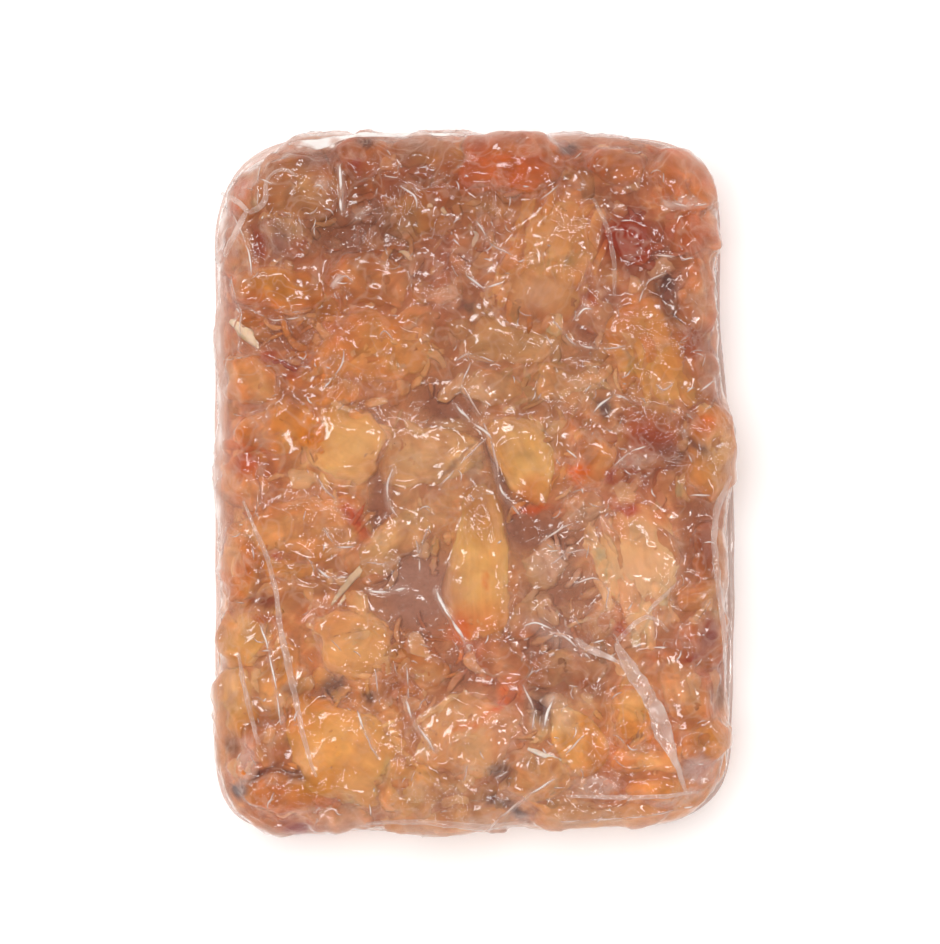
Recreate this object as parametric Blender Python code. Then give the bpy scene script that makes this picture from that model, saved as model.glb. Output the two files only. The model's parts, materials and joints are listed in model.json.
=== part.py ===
"""A slab of cooked, picked crab meat, frozen in its own juice and vacuum packed in a clear pouch.

It is one sealed solid: a core with rounded corners, the pieces of meat that press out against the
film fused on at their real size, and the film's thin hem and gussets. It lies flat on its
underside, with its origin at the middle of that underside, X across the slab and Y along it.
Lengths are in millimetres until a mesh is made, and angles in degrees.
"""
import math
import random

import bmesh
import bpy
from mathutils import Matrix, Vector, noise

MM = 0.001

# The slab's driving sizes
TOP = 25.8  # the frozen juice between the pieces of meat
SHOULDER = 11.0  # how far in from the wall the top starts to fall away
SHOULDER_DROP = 5.5
SHOULDER_RINGS = (2.2, 4.4, 7.2, SHOULDER)
FOOT_RECESS = 0.7  # the juice stands this far off the table between the pieces under the slab
WALL_RECESS = 1.0  # and this far inside the outline between those in the wall
WALL_SECTION = ((FOOT_RECESS, -2.6), (3.6, -WALL_RECESS), (19.6, -WALL_RECESS))  # height, offset
OUTLINE_STEP = 6.0  # spacing of the points along the outline

# The slab seen from above: each corner's place, and how far along its two sides its rounding starts
SLAB_CORNERS = (
    (58.3, 3.0, 7.5),  # the swelling in the right side
    (53.6, 38.0, 17.0),  # the waist above it
    (54.9, 77.4, 22.0),
    (-56.6, 78.2, 29.0),
    (-56.4, -25.0, 8.0),
    (-58.2, -44.0, 9.0),
    (-57.2, -78.2, 17.0),
    (57.0, -76.0, 21.0),
    (56.2, -10.0, 5.5),
)
# The hem, where the pouch's two films cling together round the slab's foot, given the same way
HEM_CORNERS = (
    (59.3, 3.0, 14.0),
    (55.4, 38.0, 16.0),
    (56.6, 78.9, 22.0),
    (-59.1, 78.9, 25.0),
    (-59.1, -78.9, 17.0),
    (58.4, -77.2, 21.0),
)
HEM_THICKNESS = 0.9
HEM_ROOT = 6.0  # how far in from its edge the hem's inner side is buried in the slab
# Gussets, where spare film tents from the wall down to the hem: place and height of each
GUSSETS = (
    (-57.8, 62.0, 11.0),
    (-53.5, 71.5, 14.0),
    (-46.0, 77.0, 10.0),
    (49.0, 77.0, 9.0),
    (54.5, 68.0, 12.0),
    (57.0, -66.0, 12.0),
    (51.0, -74.5, 10.0),
    (-46.5, -78.4, 9.0),
    (-55.5, -73.5, 13.0),
    (-58.9, -60.0, 8.0),
    (58.6, -8.0, 13.0),
    (-58.9, 24.0, 9.0),
)
GUSSET_THICKNESS = 0.8
GUSSET_EDGE = 0.4  # how far inside the hem's edge it starts
GUSSET_ROOT = 5.0  # and how far in it is buried in the slab
GUSSET_FOOT = 0.3

# Pieces of meat in the top face: centre x, centre y, length, width, turn, and height over the juice.
# A claw tapers to a point, a leg is a blunt stick, and a lump is an uneven ball.
CLAWS = (
    (17.4, 50.0, 33.0, 26.0, 70.0, 2.5),
    (39.0, 29.0, 25.0, 19.5, -62.0, 2.1),
    (-10.5, 6.4, 25.0, 16.0, 4.0, 1.9),
    (12.1, 6.0, 23.0, 14.0, 112.0, 2.4),
    (0.8, -17.8, 36.0, 16.5, 86.0, 2.8),
    (36.2, -17.0, 31.0, 22.5, -80.0, 2.7),
    (22.4, -56.0, 18.0, 14.0, 122.0, 1.9),
)
LEGS = (
    (-18.8, -13.0, 22.0, 9.0, 36.0, 1.4),
    (-43.6, 43.0, 20.0, 10.0, -2.0, 2.0),
    (7.0, 31.0, 23.0, 10.0, -8.0, 1.7),
    (37.6, -61.0, 17.0, 6.5, -4.0, 2.0),
    (38.8, -67.0, 14.0, 5.5, -2.0, 1.6),
    (46.0, -45.0, 19.0, 10.5, 108.0, 2.2),
    (-38.8, -9.6, 29.0, 12.5, 5.0, 2.0),
    (-41.6, -18.6, 13.0, 6.0, 2.0, 1.5),
    (50.4, -14.5, 14.0, 6.0, 88.0, 1.2),
    (3.4, 21.6, 14.0, 8.0, -14.0, 1.3),
    (-6.0, -73.2, 28.0, 8.5, 1.0, 2.2),
    (27.6, -72.0, 30.0, 7.5, 2.0, 1.9),
)
LUMPS = (
    (8.2, 70.6, 27.0, 15.0, 2.0, 2.4),
    (46.4, 66.2, 17.0, 13.0, -36.0, 2.0),
    (-24.6, 72.2, 12.0, 11.0, 20.0, 1.7),
    (-38.2, 65.6, 22.0, 13.5, 8.0, 1.5),
    (-49.6, 63.6, 10.0, 12.0, 30.0, 1.4),
    (-51.6, 50.8, 8.0, 15.0, -6.0, 1.4),
    (-41.6, 54.4, 13.0, 10.5, -20.0, 1.2),
    (-22.6, 44.8, 18.0, 10.5, -12.0, 1.8),
    (-8.6, 42.6, 13.0, 9.0, 14.0, 1.1),
    (-11.4, 60.8, 15.0, 11.5, 25.0, 1.0),
    (-1.0, 54.6, 11.0, 9.5, 60.0, 0.9),
    (-9.4, 72.2, 18.0, 9.0, 0.0, 1.6),
    (31.4, 70.2, 14.0, 9.5, -8.0, 1.5),
    (33.0, 54.2, 12.5, 9.0, -18.0, 1.1),
    (48.6, 55.6, 11.0, 11.5, 10.0, 1.5),
    (49.2, 42.0, 16.0, 9.0, 82.0, 1.7),
    (49.6, 25.6, 19.0, 8.5, 97.0, 1.6),
    (20.4, 22.4, 18.0, 9.0, -6.0, 1.4),
    (-23.4, 30.6, 27.0, 16.0, 12.0, 2.3),
    (-34.4, 21.2, 17.0, 9.0, -18.0, 1.6),
    (-49.2, 23.4, 14.0, 11.5, 6.0, 1.9),
    (-43.8, 12.2, 19.5, 13.0, 14.0, 2.1),
    (-28.4, 8.4, 18.5, 17.5, -35.0, 2.8),
    (52.2, 6.8, 22.0, 11.5, 91.0, 2.0),
    (38.0, 9.4, 16.5, 15.5, 20.0, 1.5),
    (25.6, 6.2, 14.5, 10.5, 86.0, 2.0),
    (24.0, -6.2, 11.5, 9.5, 0.0, 1.2),
    (14.6, -17.6, 11.0, 10.0, 20.0, 0.8),
    (-50.8, 0.4, 14.0, 11.0, 84.0, 1.8),
    (-51.4, -17.0, 17.5, 10.5, 86.0, 1.9),
    (-51.2, -34.4, 13.5, 12.5, 60.0, 2.0),
    (-52.0, -47.8, 14.5, 10.5, 86.0, 1.8),
    (-43.0, -42.4, 15.5, 10.0, 78.0, 1.9),
    (-27.2, -34.4, 20.5, 15.5, -10.0, 2.6),
    (-12.6, -39.8, 12.0, 10.5, -40.0, 1.4),
    (-29.6, -59.0, 27.0, 22.0, -30.0, 2.8),
    (-14.8, -66.4, 18.0, 13.0, -16.0, 2.0),
    (-42.6, -67.4, 20.0, 10.5, -10.0, 2.1),
    (-1.2, -55.2, 22.5, 19.5, 18.0, 2.5),
    (14.4, -64.6, 15.0, 9.5, 10.0, 1.7),
    (35.0, -50.4, 14.5, 10.0, 80.0, 2.1),
    (50.2, -33.6, 14.5, 11.0, 74.0, 1.7),
    (49.4, -24.2, 10.5, 8.5, 10.0, 1.3),
    (50.6, -56.8, 12.0, 9.5, 8.0, 1.7),
    (-30.4, -73.2, 16.0, 8.0, -4.0, 1.6),
    (19.6, -40.4, 18.0, 9.0, -6.0, 0.8),
    (6.6, -38.6, 13.5, 9.0, -28.0, 1.2),
    (-44.8, -56.4, 11.5, 10.5, 15.0, 1.5),
    (29.0, -30.2, 11.0, 9.5, 30.0, 1.4),
    (26.6, 37.2, 10.0, 8.0, -40.0, 0.9),
    (10.6, -29.8, 10.0, 7.5, 30.0, 0.8),
)
THICKNESS_SHARE = 3.4  # a piece's thickness over its height above the juice
LEAST_THICKNESS = 5.6
CLAW_TAPER = 0.62  # how much narrower a claw's point is than its root
CLAW_THINNING = 0.65  # how much of that taper its thickness follows
# How square a piece is seen from above, and seen from its side, where the film has pressed it
# flat: the exponents of a superellipsoid, in which 2 is plainly round and more is squarer.
BLUNTNESS = {
    "claw": (2.1, 2.8),
    "leg": (3.0, 3.0),
    "lump": (2.4, 3.6),
    "flake": (2.2, 2.6),
    "wall": (2.4, 2.4),
    "foot": (2.4, 3.6),
}
UNEVENNESS = 0.11  # bumps, as a share of the piece's size
BUMP_SPACING = 0.42  # spacing of the bumps, as a share of the piece's length
LARGE_PIECE = 28.5  # longer pieces get a finer ball, and the small ones a plain one
SMALL_PIECE = 13.2
PLAIN_KINDS = ("flake", "foot")
SPINDLE_KINDS = ("wall",)

# Flakes that have come off the pieces and fill the gaps between them in the top face
FLAKE_PITCH = 8.6
FLAKE_SCATTER = 1.5
FLAKE_SIZE = (7.5, 12.5)
FLAKE_GAP = 0.5  # as a share of its own size, how far a flake keeps out of the pieces round it
FLAKE_HEIGHT = (0.6, 1.5)
FLAKE_THICKNESS = 4.6

# Pieces pressed against the wall, one after another, low and high by turns
WALL_SPACING = 15.0
WALL_LEVELS = (7.6, 16.4)  # height of their middles over the table
WALL_PIECE = (20.0, 28.0)  # shortest and longest
WALL_PIECE_HEIGHT = (10.5, 13.5)
WALL_PIECE_DEPTH = 6.4
WALL_PROUD = (-0.2, 0.6)  # how far they stand outside the outline

# Pieces under the slab, on an uneven grid
FOOT_PITCH = (24.0, 22.0)  # grid under the slab, across and along
FOOT_PIECE = (19.0, 24.0)
FOOT_SCATTER = 2.5
FOOT_SINK = 6.2  # height of a foot piece's middle over the table
FOOT_SQUASH = 4.0  # how much of its thickness the table has flattened
FOOT_CLEARANCE = 0.3  # the highest that a foot piece's flat stands over the table

MERGE = 0.004  # points this near each other after the union are one
SEED = 41


def rounded_outline(corners, step=OUTLINE_STEP, arc_points=7):
    """Points round a polygon whose corners are parabolic arcs, evenly spaced."""
    path = []
    for i, (x, y, reach) in enumerate(corners):
        corner = Vector((x, y))
        before = Vector(corners[i - 1][:2])
        after = Vector(corners[(i + 1) % len(corners)][:2])
        start = corner + (before - corner).normalized() * reach
        end = corner + (after - corner).normalized() * reach
        for k in range(arc_points):
            t = k / (arc_points - 1)
            path.append(start * (1 - t) ** 2 + corner * 2 * t * (1 - t) + end * t ** 2)
    return evenly_spaced(path, step)


def evenly_spaced(path, step):
    """The closed path as points about a step apart."""
    closed = path + path[:1]
    lengths = [(b - a).length for a, b in zip(closed, closed[1:])]
    count = round(sum(lengths) / step)
    spacing = sum(lengths) / count
    points, walked, k = [], 0.0, 0
    for n in range(count):
        while walked + lengths[k] < n * spacing:
            walked += lengths[k]
            k += 1
        share = (n * spacing - walked) / lengths[k]
        points.append(closed[k].lerp(closed[k + 1], share))
    return points


def outward(points, i):
    """The outward normal of an outline that runs anticlockwise."""
    along = points[(i + 1) % len(points)] - points[i - 1]
    return Vector((along.y, -along.x)).normalized()


def offset_outline(points, distance):
    """The outline moved outward by a distance, point by point."""
    return [p + outward(points, i) * distance for i, p in enumerate(points)]


SLAB = rounded_outline(SLAB_CORNERS)
HEM = rounded_outline(HEM_CORNERS)


def inside_wall(x, y):
    """How far a point lies inside the slab's outline, negative outside, and the normal there."""
    place = Vector((x, y))
    i = min(range(len(SLAB)), key=lambda n: (SLAB[n] - place).length_squared)
    normal = outward(SLAB, i)
    return (SLAB[i] - place).dot(normal), normal


def crown(x, y):
    """Height of the frozen juice: level in the middle, falling towards the wall."""
    depth = max(0.0, inside_wall(x, y)[0])
    return TOP - SHOULDER_DROP * max(0.0, 1 - depth / SHOULDER) ** 2


def crown_normal(x, y, reach=1.5):
    """The direction that the frozen juice's surface faces."""
    slope_x = (crown(x + reach, y) - crown(x - reach, y)) / (2 * reach)
    slope_y = (crown(x, y + reach) - crown(x, y - reach)) / (2 * reach)
    return Vector((-slope_x, -slope_y, 1)).normalized()


def new_object(name, mesh_builder):
    """Links the builder's mesh as an object, with its lengths turned from millimetres to metres."""
    bmesh.ops.recalc_face_normals(mesh_builder, faces=mesh_builder.faces)
    bmesh.ops.scale(mesh_builder, vec=(MM, MM, MM), verts=mesh_builder.verts)
    mesh = bpy.data.meshes.new(name)
    mesh_builder.to_mesh(mesh)
    mesh_builder.free()
    obj = bpy.data.objects.new(name, mesh)
    bpy.context.scene.collection.objects.link(obj)
    return obj


def stack_rings(rings):
    """A closed body whose sides join the rings in turn, lowest first, with a face across each end."""
    body = bmesh.new()
    loops = [[body.verts.new(point) for point in ring] for ring in rings]
    for low, high in zip(loops, loops[1:]):
        for i, vert in enumerate(low):
            j = (i + 1) % len(low)
            body.faces.new((vert, low[j], high[j], high[i]))
    body.faces.new(reversed(loops[0]))
    body.faces.new(loops[-1])
    return body


def make_core():
    """The frozen juice: a slab with an upright wall, a round shoulder and a crowned top."""
    rings = [[(p.x, p.y, z) for p in offset_outline(SLAB, out)] for z, out in WALL_SECTION]
    for depth in SHOULDER_RINGS:
        ring = offset_outline(SLAB, -depth)
        rings.append([(p.x, p.y, crown(p.x, p.y)) for p in ring])
    return new_object("core", stack_rings(rings))


def make_hem():
    """The thin flat margin where the two films cling together on the table: a flat ring."""
    inner = offset_outline(HEM, -HEM_ROOT)
    ring = bmesh.new()
    profile = ((HEM, 0.0), (HEM, HEM_THICKNESS), (inner, HEM_THICKNESS), (inner, 0.0))
    loops = [[ring.verts.new((p.x, p.y, z)) for p in points] for points, z in profile]
    for first, second in zip(loops, loops[1:] + loops[:1]):
        for i, vert in enumerate(first):
            j = (i + 1) % len(first)
            ring.faces.new((vert, first[j], second[j], second[i]))
    return new_object("hem", ring)


def make_gusset(name, x, y, head):
    """Spare film as a thin upright web, high at the wall and sloping down to the hem's edge."""
    i = min(range(len(HEM)), key=lambda n: (HEM[n] - Vector((x, y))).length_squared)
    normal = outward(HEM, i)
    edge = HEM[i] - normal * GUSSET_EDGE
    root = HEM[i] - normal * GUSSET_ROOT
    waist = edge.lerp(root, 0.28)
    side = Vector((-normal.y, normal.x)) * GUSSET_THICKNESS / 2
    corners = ((edge, GUSSET_FOOT), (root, GUSSET_FOOT), (root, head), (waist, head * 0.4))
    rings = [[(*(p + shift), z) for p, z in corners] for shift in (side, -side)]
    return new_object(name, stack_rings(rings))


def shape_point(kind, point):
    """Moves a point of the unit ball, with its long axis on X, to the piece's form."""
    plan, side = BLUNTNESS[kind]
    level = math.hypot(point.x, point.y)
    rim = (level ** side + abs(point.z) ** side) ** (1 / side)
    x, y, z = point / rim
    if level > 0:
        squared = level / (abs(point.x) ** plan + abs(point.y) ** plan) ** (1 / plan)
        x, y = x * squared, y * squared
    if kind == "claw":
        taper = 1 - CLAW_TAPER * max(0.0, (x + 1) / 2) ** 1.4
        return Vector((x, y * taper, z * (1 - CLAW_THINNING + CLAW_THINNING * taper)))
    return Vector((x, y, z))


def make_ball(kind, length):
    """A unit ball with as many sides as a piece of this kind and length needs."""
    ball = bmesh.new()
    if kind in SPINDLE_KINDS:
        lengthways = Matrix.Rotation(math.pi / 2, 4, "Y")
        bmesh.ops.create_uvsphere(ball, u_segments=8, v_segments=5, radius=1.0, matrix=lengthways)
    elif kind in PLAIN_KINDS or length < SMALL_PIECE:
        bmesh.ops.create_uvsphere(ball, u_segments=7, v_segments=4, radius=1.0)
    else:
        fineness = 3 if length > LARGE_PIECE else 2
        bmesh.ops.create_icosphere(ball, subdivisions=fineness, radius=1.0)
    return ball


def make_piece(name, kind, size, seed_point, place):
    """One uneven piece of meat. Size is its length, width and thickness, and place moves its points."""
    length, width, thickness = size
    ball = make_ball(kind, length)
    spacing = BUMP_SPACING * length
    for vert in ball.verts:
        formed = shape_point(kind, vert.co)
        real = Vector((formed.x * length, formed.y * width, formed.z * thickness)) / 2
        bump = noise.noise(real / spacing + seed_point) * UNEVENNESS * 2
        vert.co = place(real * (1 + bump))
    return new_object(name, ball)


def pressed_back(point):
    """A piece that would break through the wall is flattened there, as the mould flattened it."""
    depth, normal = inside_wall(point.x, point.y)
    proud = -depth - WALL_PROUD[1]
    if proud > 0:
        point.xy -= normal * proud * 0.9
    return point


def laid_down(x, y, z, turn, up):
    """Places a piece flat at a point, with its Z axis along up and its X axis turned."""
    lean = Vector((0, 0, 1)).rotation_difference(up).to_matrix().to_4x4()
    frame = Matrix.Translation((x, y, z)) @ lean @ Matrix.Rotation(math.radians(turn), 4, "Z")
    return lambda point: pressed_back(frame @ point)


def bent_round_wall(travel, out, z, slope):
    """Places a piece this far along the outline and outside it, bent to follow the wall."""
    return lambda point: on_wall(travel + point.x, out - point.y, z + point.z + point.x * slope)


def any_point(draw):
    """A random place in the noise, so that no two pieces have the same bumps."""
    return Vector((draw.random(), draw.random(), draw.random())) * 50


def make_top_pieces(draw):
    """The pieces that show in the top face."""
    made = []
    for kind, rows in (("claw", CLAWS), ("leg", LEGS), ("lump", LUMPS)):
        for n, (x, y, length, width, turn, height) in enumerate(rows):
            thickness = max(LEAST_THICKNESS, height * THICKNESS_SHARE)
            up = crown_normal(x, y)
            middle = crown(x, y) + height - thickness / 2
            size = (length, width, thickness)
            place = laid_down(x, y, middle, turn, up)
            made.append(make_piece(f"{kind}_{n}", kind, size, any_point(draw), place))
    return made


def is_covered(x, y, reach):
    """Whether a piece in the top face lies within reach of this point."""
    for px, py, length, width, turn, _ in CLAWS + LEGS + LUMPS:
        along = Matrix.Rotation(math.radians(-turn), 2) @ Vector((x - px, y - py))
        if math.hypot(along.x / (length / 2 + reach), along.y / (width / 2 + reach)) < 1:
            return True
    return False


def make_flakes(draw):
    """The flakes between the pieces in the top face, on an uneven grid."""
    made = []
    count = round(80 / FLAKE_PITCH)
    for row in range(-count, count + 1):
        for column in range(-count, count + 1):
            x = column * FLAKE_PITCH + draw.uniform(-FLAKE_SCATTER, FLAKE_SCATTER)
            y = row * FLAKE_PITCH + draw.uniform(-FLAKE_SCATTER, FLAKE_SCATTER)
            length = draw.uniform(*FLAKE_SIZE)
            width = length * draw.uniform(0.5, 0.8)
            height = draw.uniform(*FLAKE_HEIGHT)
            turn = draw.uniform(0, 180)
            seed_point = any_point(draw)
            if inside_wall(x, y)[0] < length / 2 or is_covered(x, y, width / 2 * FLAKE_GAP):
                continue
            middle = crown(x, y) + height - FLAKE_THICKNESS / 2
            size = (length, width, FLAKE_THICKNESS)
            place = laid_down(x, y, middle, turn, crown_normal(x, y))
            made.append(make_piece(f"flake_{len(made)}", "flake", size, seed_point, place))
    return made


def on_wall(travel, out, z):
    """The point this far along the outline, this far outside it, and at this height."""
    spacing = (SLAB[1] - SLAB[0]).length
    i, share = divmod(travel / spacing, 1)
    first, second = int(i) % len(SLAB), (int(i) + 1) % len(SLAB)
    place = SLAB[first].lerp(SLAB[second], share)
    place += outward(SLAB, first).lerp(outward(SLAB, second), share) * out
    return Vector((place.x, place.y, z))


def make_wall_pieces(draw):
    """The pieces that press against the wall, bent to follow it."""
    made = []
    round_trip = len(SLAB) * (SLAB[1] - SLAB[0]).length
    count = 2 * round(round_trip / WALL_SPACING / 2)
    for n in range(count):
        size = (draw.uniform(*WALL_PIECE), WALL_PIECE_DEPTH, draw.uniform(*WALL_PIECE_HEIGHT))
        travel = n * round_trip / count + draw.uniform(-2, 2)
        out = draw.uniform(*WALL_PROUD) - WALL_PIECE_DEPTH / 2
        z = WALL_LEVELS[n % 2] + draw.uniform(-1.0, 1.0)
        place = bent_round_wall(travel, out, z, draw.uniform(-0.2, 0.2))
        made.append(make_piece(f"wall_{n}", "wall", size, any_point(draw), place))
    return made


def make_foot_pieces(draw):
    """The pieces under the slab, each flattened just over the table, and the middle one on it."""
    made = []
    across, along = FOOT_PITCH
    for row in range(-4, 5):
        for column in range(-2, 3):
            x = column * across + (row % 2) * across / 3 + draw.uniform(-1, 1) * FOOT_SCATTER
            y = row * along + draw.uniform(-1, 1) * FOOT_SCATTER
            length = draw.uniform(*FOOT_PIECE)
            size = (length, length * draw.uniform(0.6, 0.85), 2 * FOOT_SINK + FOOT_SQUASH)
            turn = draw.uniform(0, 180)
            seed_point = any_point(draw)
            if inside_wall(x, y)[0] < length / 2:
                continue
            place = laid_down(x, y, FOOT_SINK, turn, Vector((0, 0, 1)))
            piece = make_piece(f"foot_{row + 4}_{column + 2}", "foot", size, seed_point, place)
            in_middle = row == 0 and column == 0
            lowest = 0.0 if in_middle else draw.uniform(0.2, 1.0) * FOOT_CLEARANCE * MM
            for vert in piece.data.vertices:
                vert.co.z = max(vert.co.z, lowest)
            made.append(piece)
    return made


def join_all(obj, collection):
    """Applies one Boolean union of the object with all of a collection."""
    modifier = obj.modifiers.new("join", "BOOLEAN")
    modifier.operation = "UNION"
    modifier.operand_type = "COLLECTION"
    modifier.collection = collection
    graph = bpy.context.evaluated_depsgraph_get()
    mesh = bpy.data.meshes.new_from_object(obj.evaluated_get(graph))
    obj.modifiers.clear()
    obj.data = mesh


def keep_outer_shell(obj):
    """Drops loose scraps and the walls of sealed hollows, so that one solid shell is left."""
    body = bmesh.new()
    body.from_mesh(obj.data)
    bmesh.ops.remove_doubles(body, verts=body.verts, dist=MERGE * MM)
    bmesh.ops.dissolve_degenerate(body, edges=body.edges, dist=MERGE * MM)
    body.verts.ensure_lookup_table()
    unseen = set(body.verts)
    shells = []
    while unseen:
        shell, front = set(), [unseen.pop()]
        while front:
            vert = front.pop()
            shell.add(vert)
            near = {edge.other_vert(vert) for edge in vert.link_edges} & unseen
            unseen -= near
            front.extend(near)
        shells.append(shell)
    shells.sort(key=len)
    scraps = [vert for shell in shells[:-1] for vert in shell]
    bmesh.ops.delete(body, geom=scraps, context="VERTS")
    bmesh.ops.triangulate(body, faces=body.faces)
    body.to_mesh(obj.data)
    body.free()


def centre_on_underside(obj):
    """Moves the mesh so that the middle of its box's underside is the origin."""
    corners = [Vector(corner) for corner in obj.bound_box]
    low = Vector(min(c[i] for c in corners) for i in range(3))
    high = Vector(max(c[i] for c in corners) for i in range(3))
    middle = (low + high) / 2
    obj.data.transform(Matrix.Translation((-middle.x, -middle.y, -low.z)))


def film_material():
    """Crab meat seen through a skin-tight clear film: orange tan, glossy."""
    material = bpy.data.materials.new("clear_film_over_crab_meat")
    material.use_nodes = True
    shader = material.node_tree.nodes["Principled BSDF"]
    shader.inputs["Base Color"].default_value = (0.55, 0.27, 0.13, 1)
    shader.inputs["Roughness"].default_value = 0.18
    shader.inputs["Metallic"].default_value = 0.0
    return material


def main():
    for old in list(bpy.data.objects):
        bpy.data.objects.remove(old)
    draw = random.Random(SEED)
    pack = make_core()
    pack.name = "crab_meat_pack"
    pieces = [make_hem()]
    pieces += [make_gusset(f"gusset_{n}", *gusset) for n, gusset in enumerate(GUSSETS)]
    pieces += make_top_pieces(draw) + make_flakes(draw)
    pieces += make_wall_pieces(draw) + make_foot_pieces(draw)
    heap = bpy.data.collections.new("pieces_of_meat")
    bpy.context.scene.collection.children.link(heap)
    for piece in pieces:
        bpy.context.scene.collection.objects.unlink(piece)
        heap.objects.link(piece)
    join_all(pack, heap)
    for piece in pieces:
        bpy.data.objects.remove(piece)
    bpy.data.collections.remove(heap)
    keep_outer_shell(pack)
    centre_on_underside(pack)
    pack.data.shade_flat()
    pack.data.materials.clear()
    pack.data.materials.append(film_material())


main()
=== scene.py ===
import json
import math
import random

import bpy
import numpy as np
from mathutils import Matrix, Vector, noise
from mathutils.bvhtree import BVHTree

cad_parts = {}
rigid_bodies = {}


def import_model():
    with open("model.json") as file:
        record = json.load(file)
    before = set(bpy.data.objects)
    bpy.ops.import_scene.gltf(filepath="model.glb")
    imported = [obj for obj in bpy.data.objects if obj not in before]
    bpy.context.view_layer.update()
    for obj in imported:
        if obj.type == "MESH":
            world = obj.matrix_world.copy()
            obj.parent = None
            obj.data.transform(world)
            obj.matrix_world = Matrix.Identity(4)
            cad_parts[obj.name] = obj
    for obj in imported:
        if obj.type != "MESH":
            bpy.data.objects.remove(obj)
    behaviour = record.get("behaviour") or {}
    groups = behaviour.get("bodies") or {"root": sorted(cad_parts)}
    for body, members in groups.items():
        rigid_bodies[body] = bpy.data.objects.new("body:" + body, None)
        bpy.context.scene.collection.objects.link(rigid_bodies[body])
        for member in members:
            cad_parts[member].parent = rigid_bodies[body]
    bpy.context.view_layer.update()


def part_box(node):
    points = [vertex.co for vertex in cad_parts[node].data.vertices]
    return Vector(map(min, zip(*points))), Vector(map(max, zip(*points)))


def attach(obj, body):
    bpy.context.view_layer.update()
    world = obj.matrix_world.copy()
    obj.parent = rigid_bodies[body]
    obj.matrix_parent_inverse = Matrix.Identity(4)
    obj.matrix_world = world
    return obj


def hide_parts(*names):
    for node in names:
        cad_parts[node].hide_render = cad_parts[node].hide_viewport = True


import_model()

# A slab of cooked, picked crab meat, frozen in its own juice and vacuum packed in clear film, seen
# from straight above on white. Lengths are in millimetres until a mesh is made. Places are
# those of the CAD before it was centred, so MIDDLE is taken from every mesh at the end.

MM = 0.001
MIDDLE = (0.02, 0.15)
# the corners of the CAD's box, which no piece leaves
LOW, HIGH = (np.array(corner) / MM + (*MIDDLE, 0.0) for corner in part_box("crab_meat_pack"))
# every random choice is drawn from here, in the order in which the pieces are made
draw = random.Random(41)

# ---------------------------------------------------------------- the sizes

# The slab's driving sizes, as in the CAD
TOP = 25.8  # the frozen juice between the pieces of meat
SHOULDER = 11.0  # how far in from the wall the top starts to fall away
SHOULDER_DROP = 5.5
SHOULDER_RINGS = (1.0, 2.2, 3.3, 4.4, 5.8, 7.2, 9.0, SHOULDER)
FOOT_RECESS = 0.7
WALL_RECESS = 1.0
# the wall's section: height, and how far out from the outline
WALL_SECTION = (
    (FOOT_RECESS, -2.6),
    (2.0, -1.5),
    (3.6, -WALL_RECESS),
    (11.0, -WALL_RECESS),
    (19.6, -WALL_RECESS),
)
# Corners of the outlines, and how far before each one the side starts to turn
SLAB_CORNERS = (
    (58.3, 3.0, 7.5),
    (53.6, 38.0, 17.0),
    (54.9, 77.4, 22.0),
    (-56.6, 78.2, 29.0),
    (-56.4, -25.0, 8.0),
    (-58.2, -44.0, 9.0),
    (-57.2, -78.2, 17.0),
    (57.0, -76.0, 21.0),
    (56.2, -10.0, 5.5),
)
HEM_CORNERS = (
    (59.3, 3.0, 14.0),
    (55.4, 38.0, 16.0),
    (56.6, 78.9, 22.0),
    (-59.1, 78.9, 25.0),
    (-59.1, -78.9, 17.0),
    (58.4, -77.2, 21.0),
)
OUTLINE_STEP = 1.5
HEM_ROOT = 5.0  # the hem starts this far inside its edge
# Spare film at the wall: where, and how high its head stands
GUSSETS = (
    (-53.5, 71.5, 14.0),
    (54.5, 68.0, 12.0),
    (51.0, -74.5, 10.0),
    (-55.5, -73.5, 13.0),
    (58.6, -8.0, 13.0),
)

FILM_GAP = 0.35  # the meat stays this far inside the film
TWO_FILMS = 0.12  # the thickness of two films that cling together
FOLD_FLOOR = 20.0  # no fold of film hangs lower than this down the wall

# How fine the meshes are: faces round and along each kind of piece, and the cubes of a remesh
BALL_FACES = {
    "claw": (72, 56),
    "leg": (48, 40),
    "lump": (44, 36),
    "bundle": (12, 10),
    "wall": (24, 32),
    "foot": (26, 22),
    "flake": (10, 7),
}
SKIN_GRAIN = 0.62
PICKED_GRAIN = 0.8
JUICE_GRAIN = 0.9
CORE_GRAIN = 1.5

# ---------------------------------------------------------------- the pieces in the photograph

# Pieces of meat in the top face: centre x, centre y, length, width, turn, height over the juice,
# and the colours of its middle, of its root end and of its other end
CLAWS = (
    (17.4, 50.0, 33.0, 26.0, 70.0, 2.5, "#D49C62", "#BD7B4E", "#DBA97A"),
    (39.0, 29.0, 25.0, 19.5, -62.0, 2.1, "#D89852", "#C88044", "#DDA662"),
    (-10.5, 6.4, 25.0, 16.0, 4.0, 1.9, "#CC9768", "#C68F62", "#D8A870"),
    (11.7, 4.6, 23.0, 15.0, -66.0, 2.4, "#D29C58", "#CB9560", "#D0793C"),
    (0.6, -17.4, 37.0, 17.6, 89.0, 2.8, "#DFA762", "#D68A50", "#C08A4C"),
    (36.2, -17.0, 31.0, 22.5, -80.0, 2.7, "#E2AE7E", "#CC7E4A", "#E2AE82"),
    (22.4, -56.0, 18.0, 14.0, 122.0, 1.9, "#D8944E", "#D08648", "#E4BC8E"),
)
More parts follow.
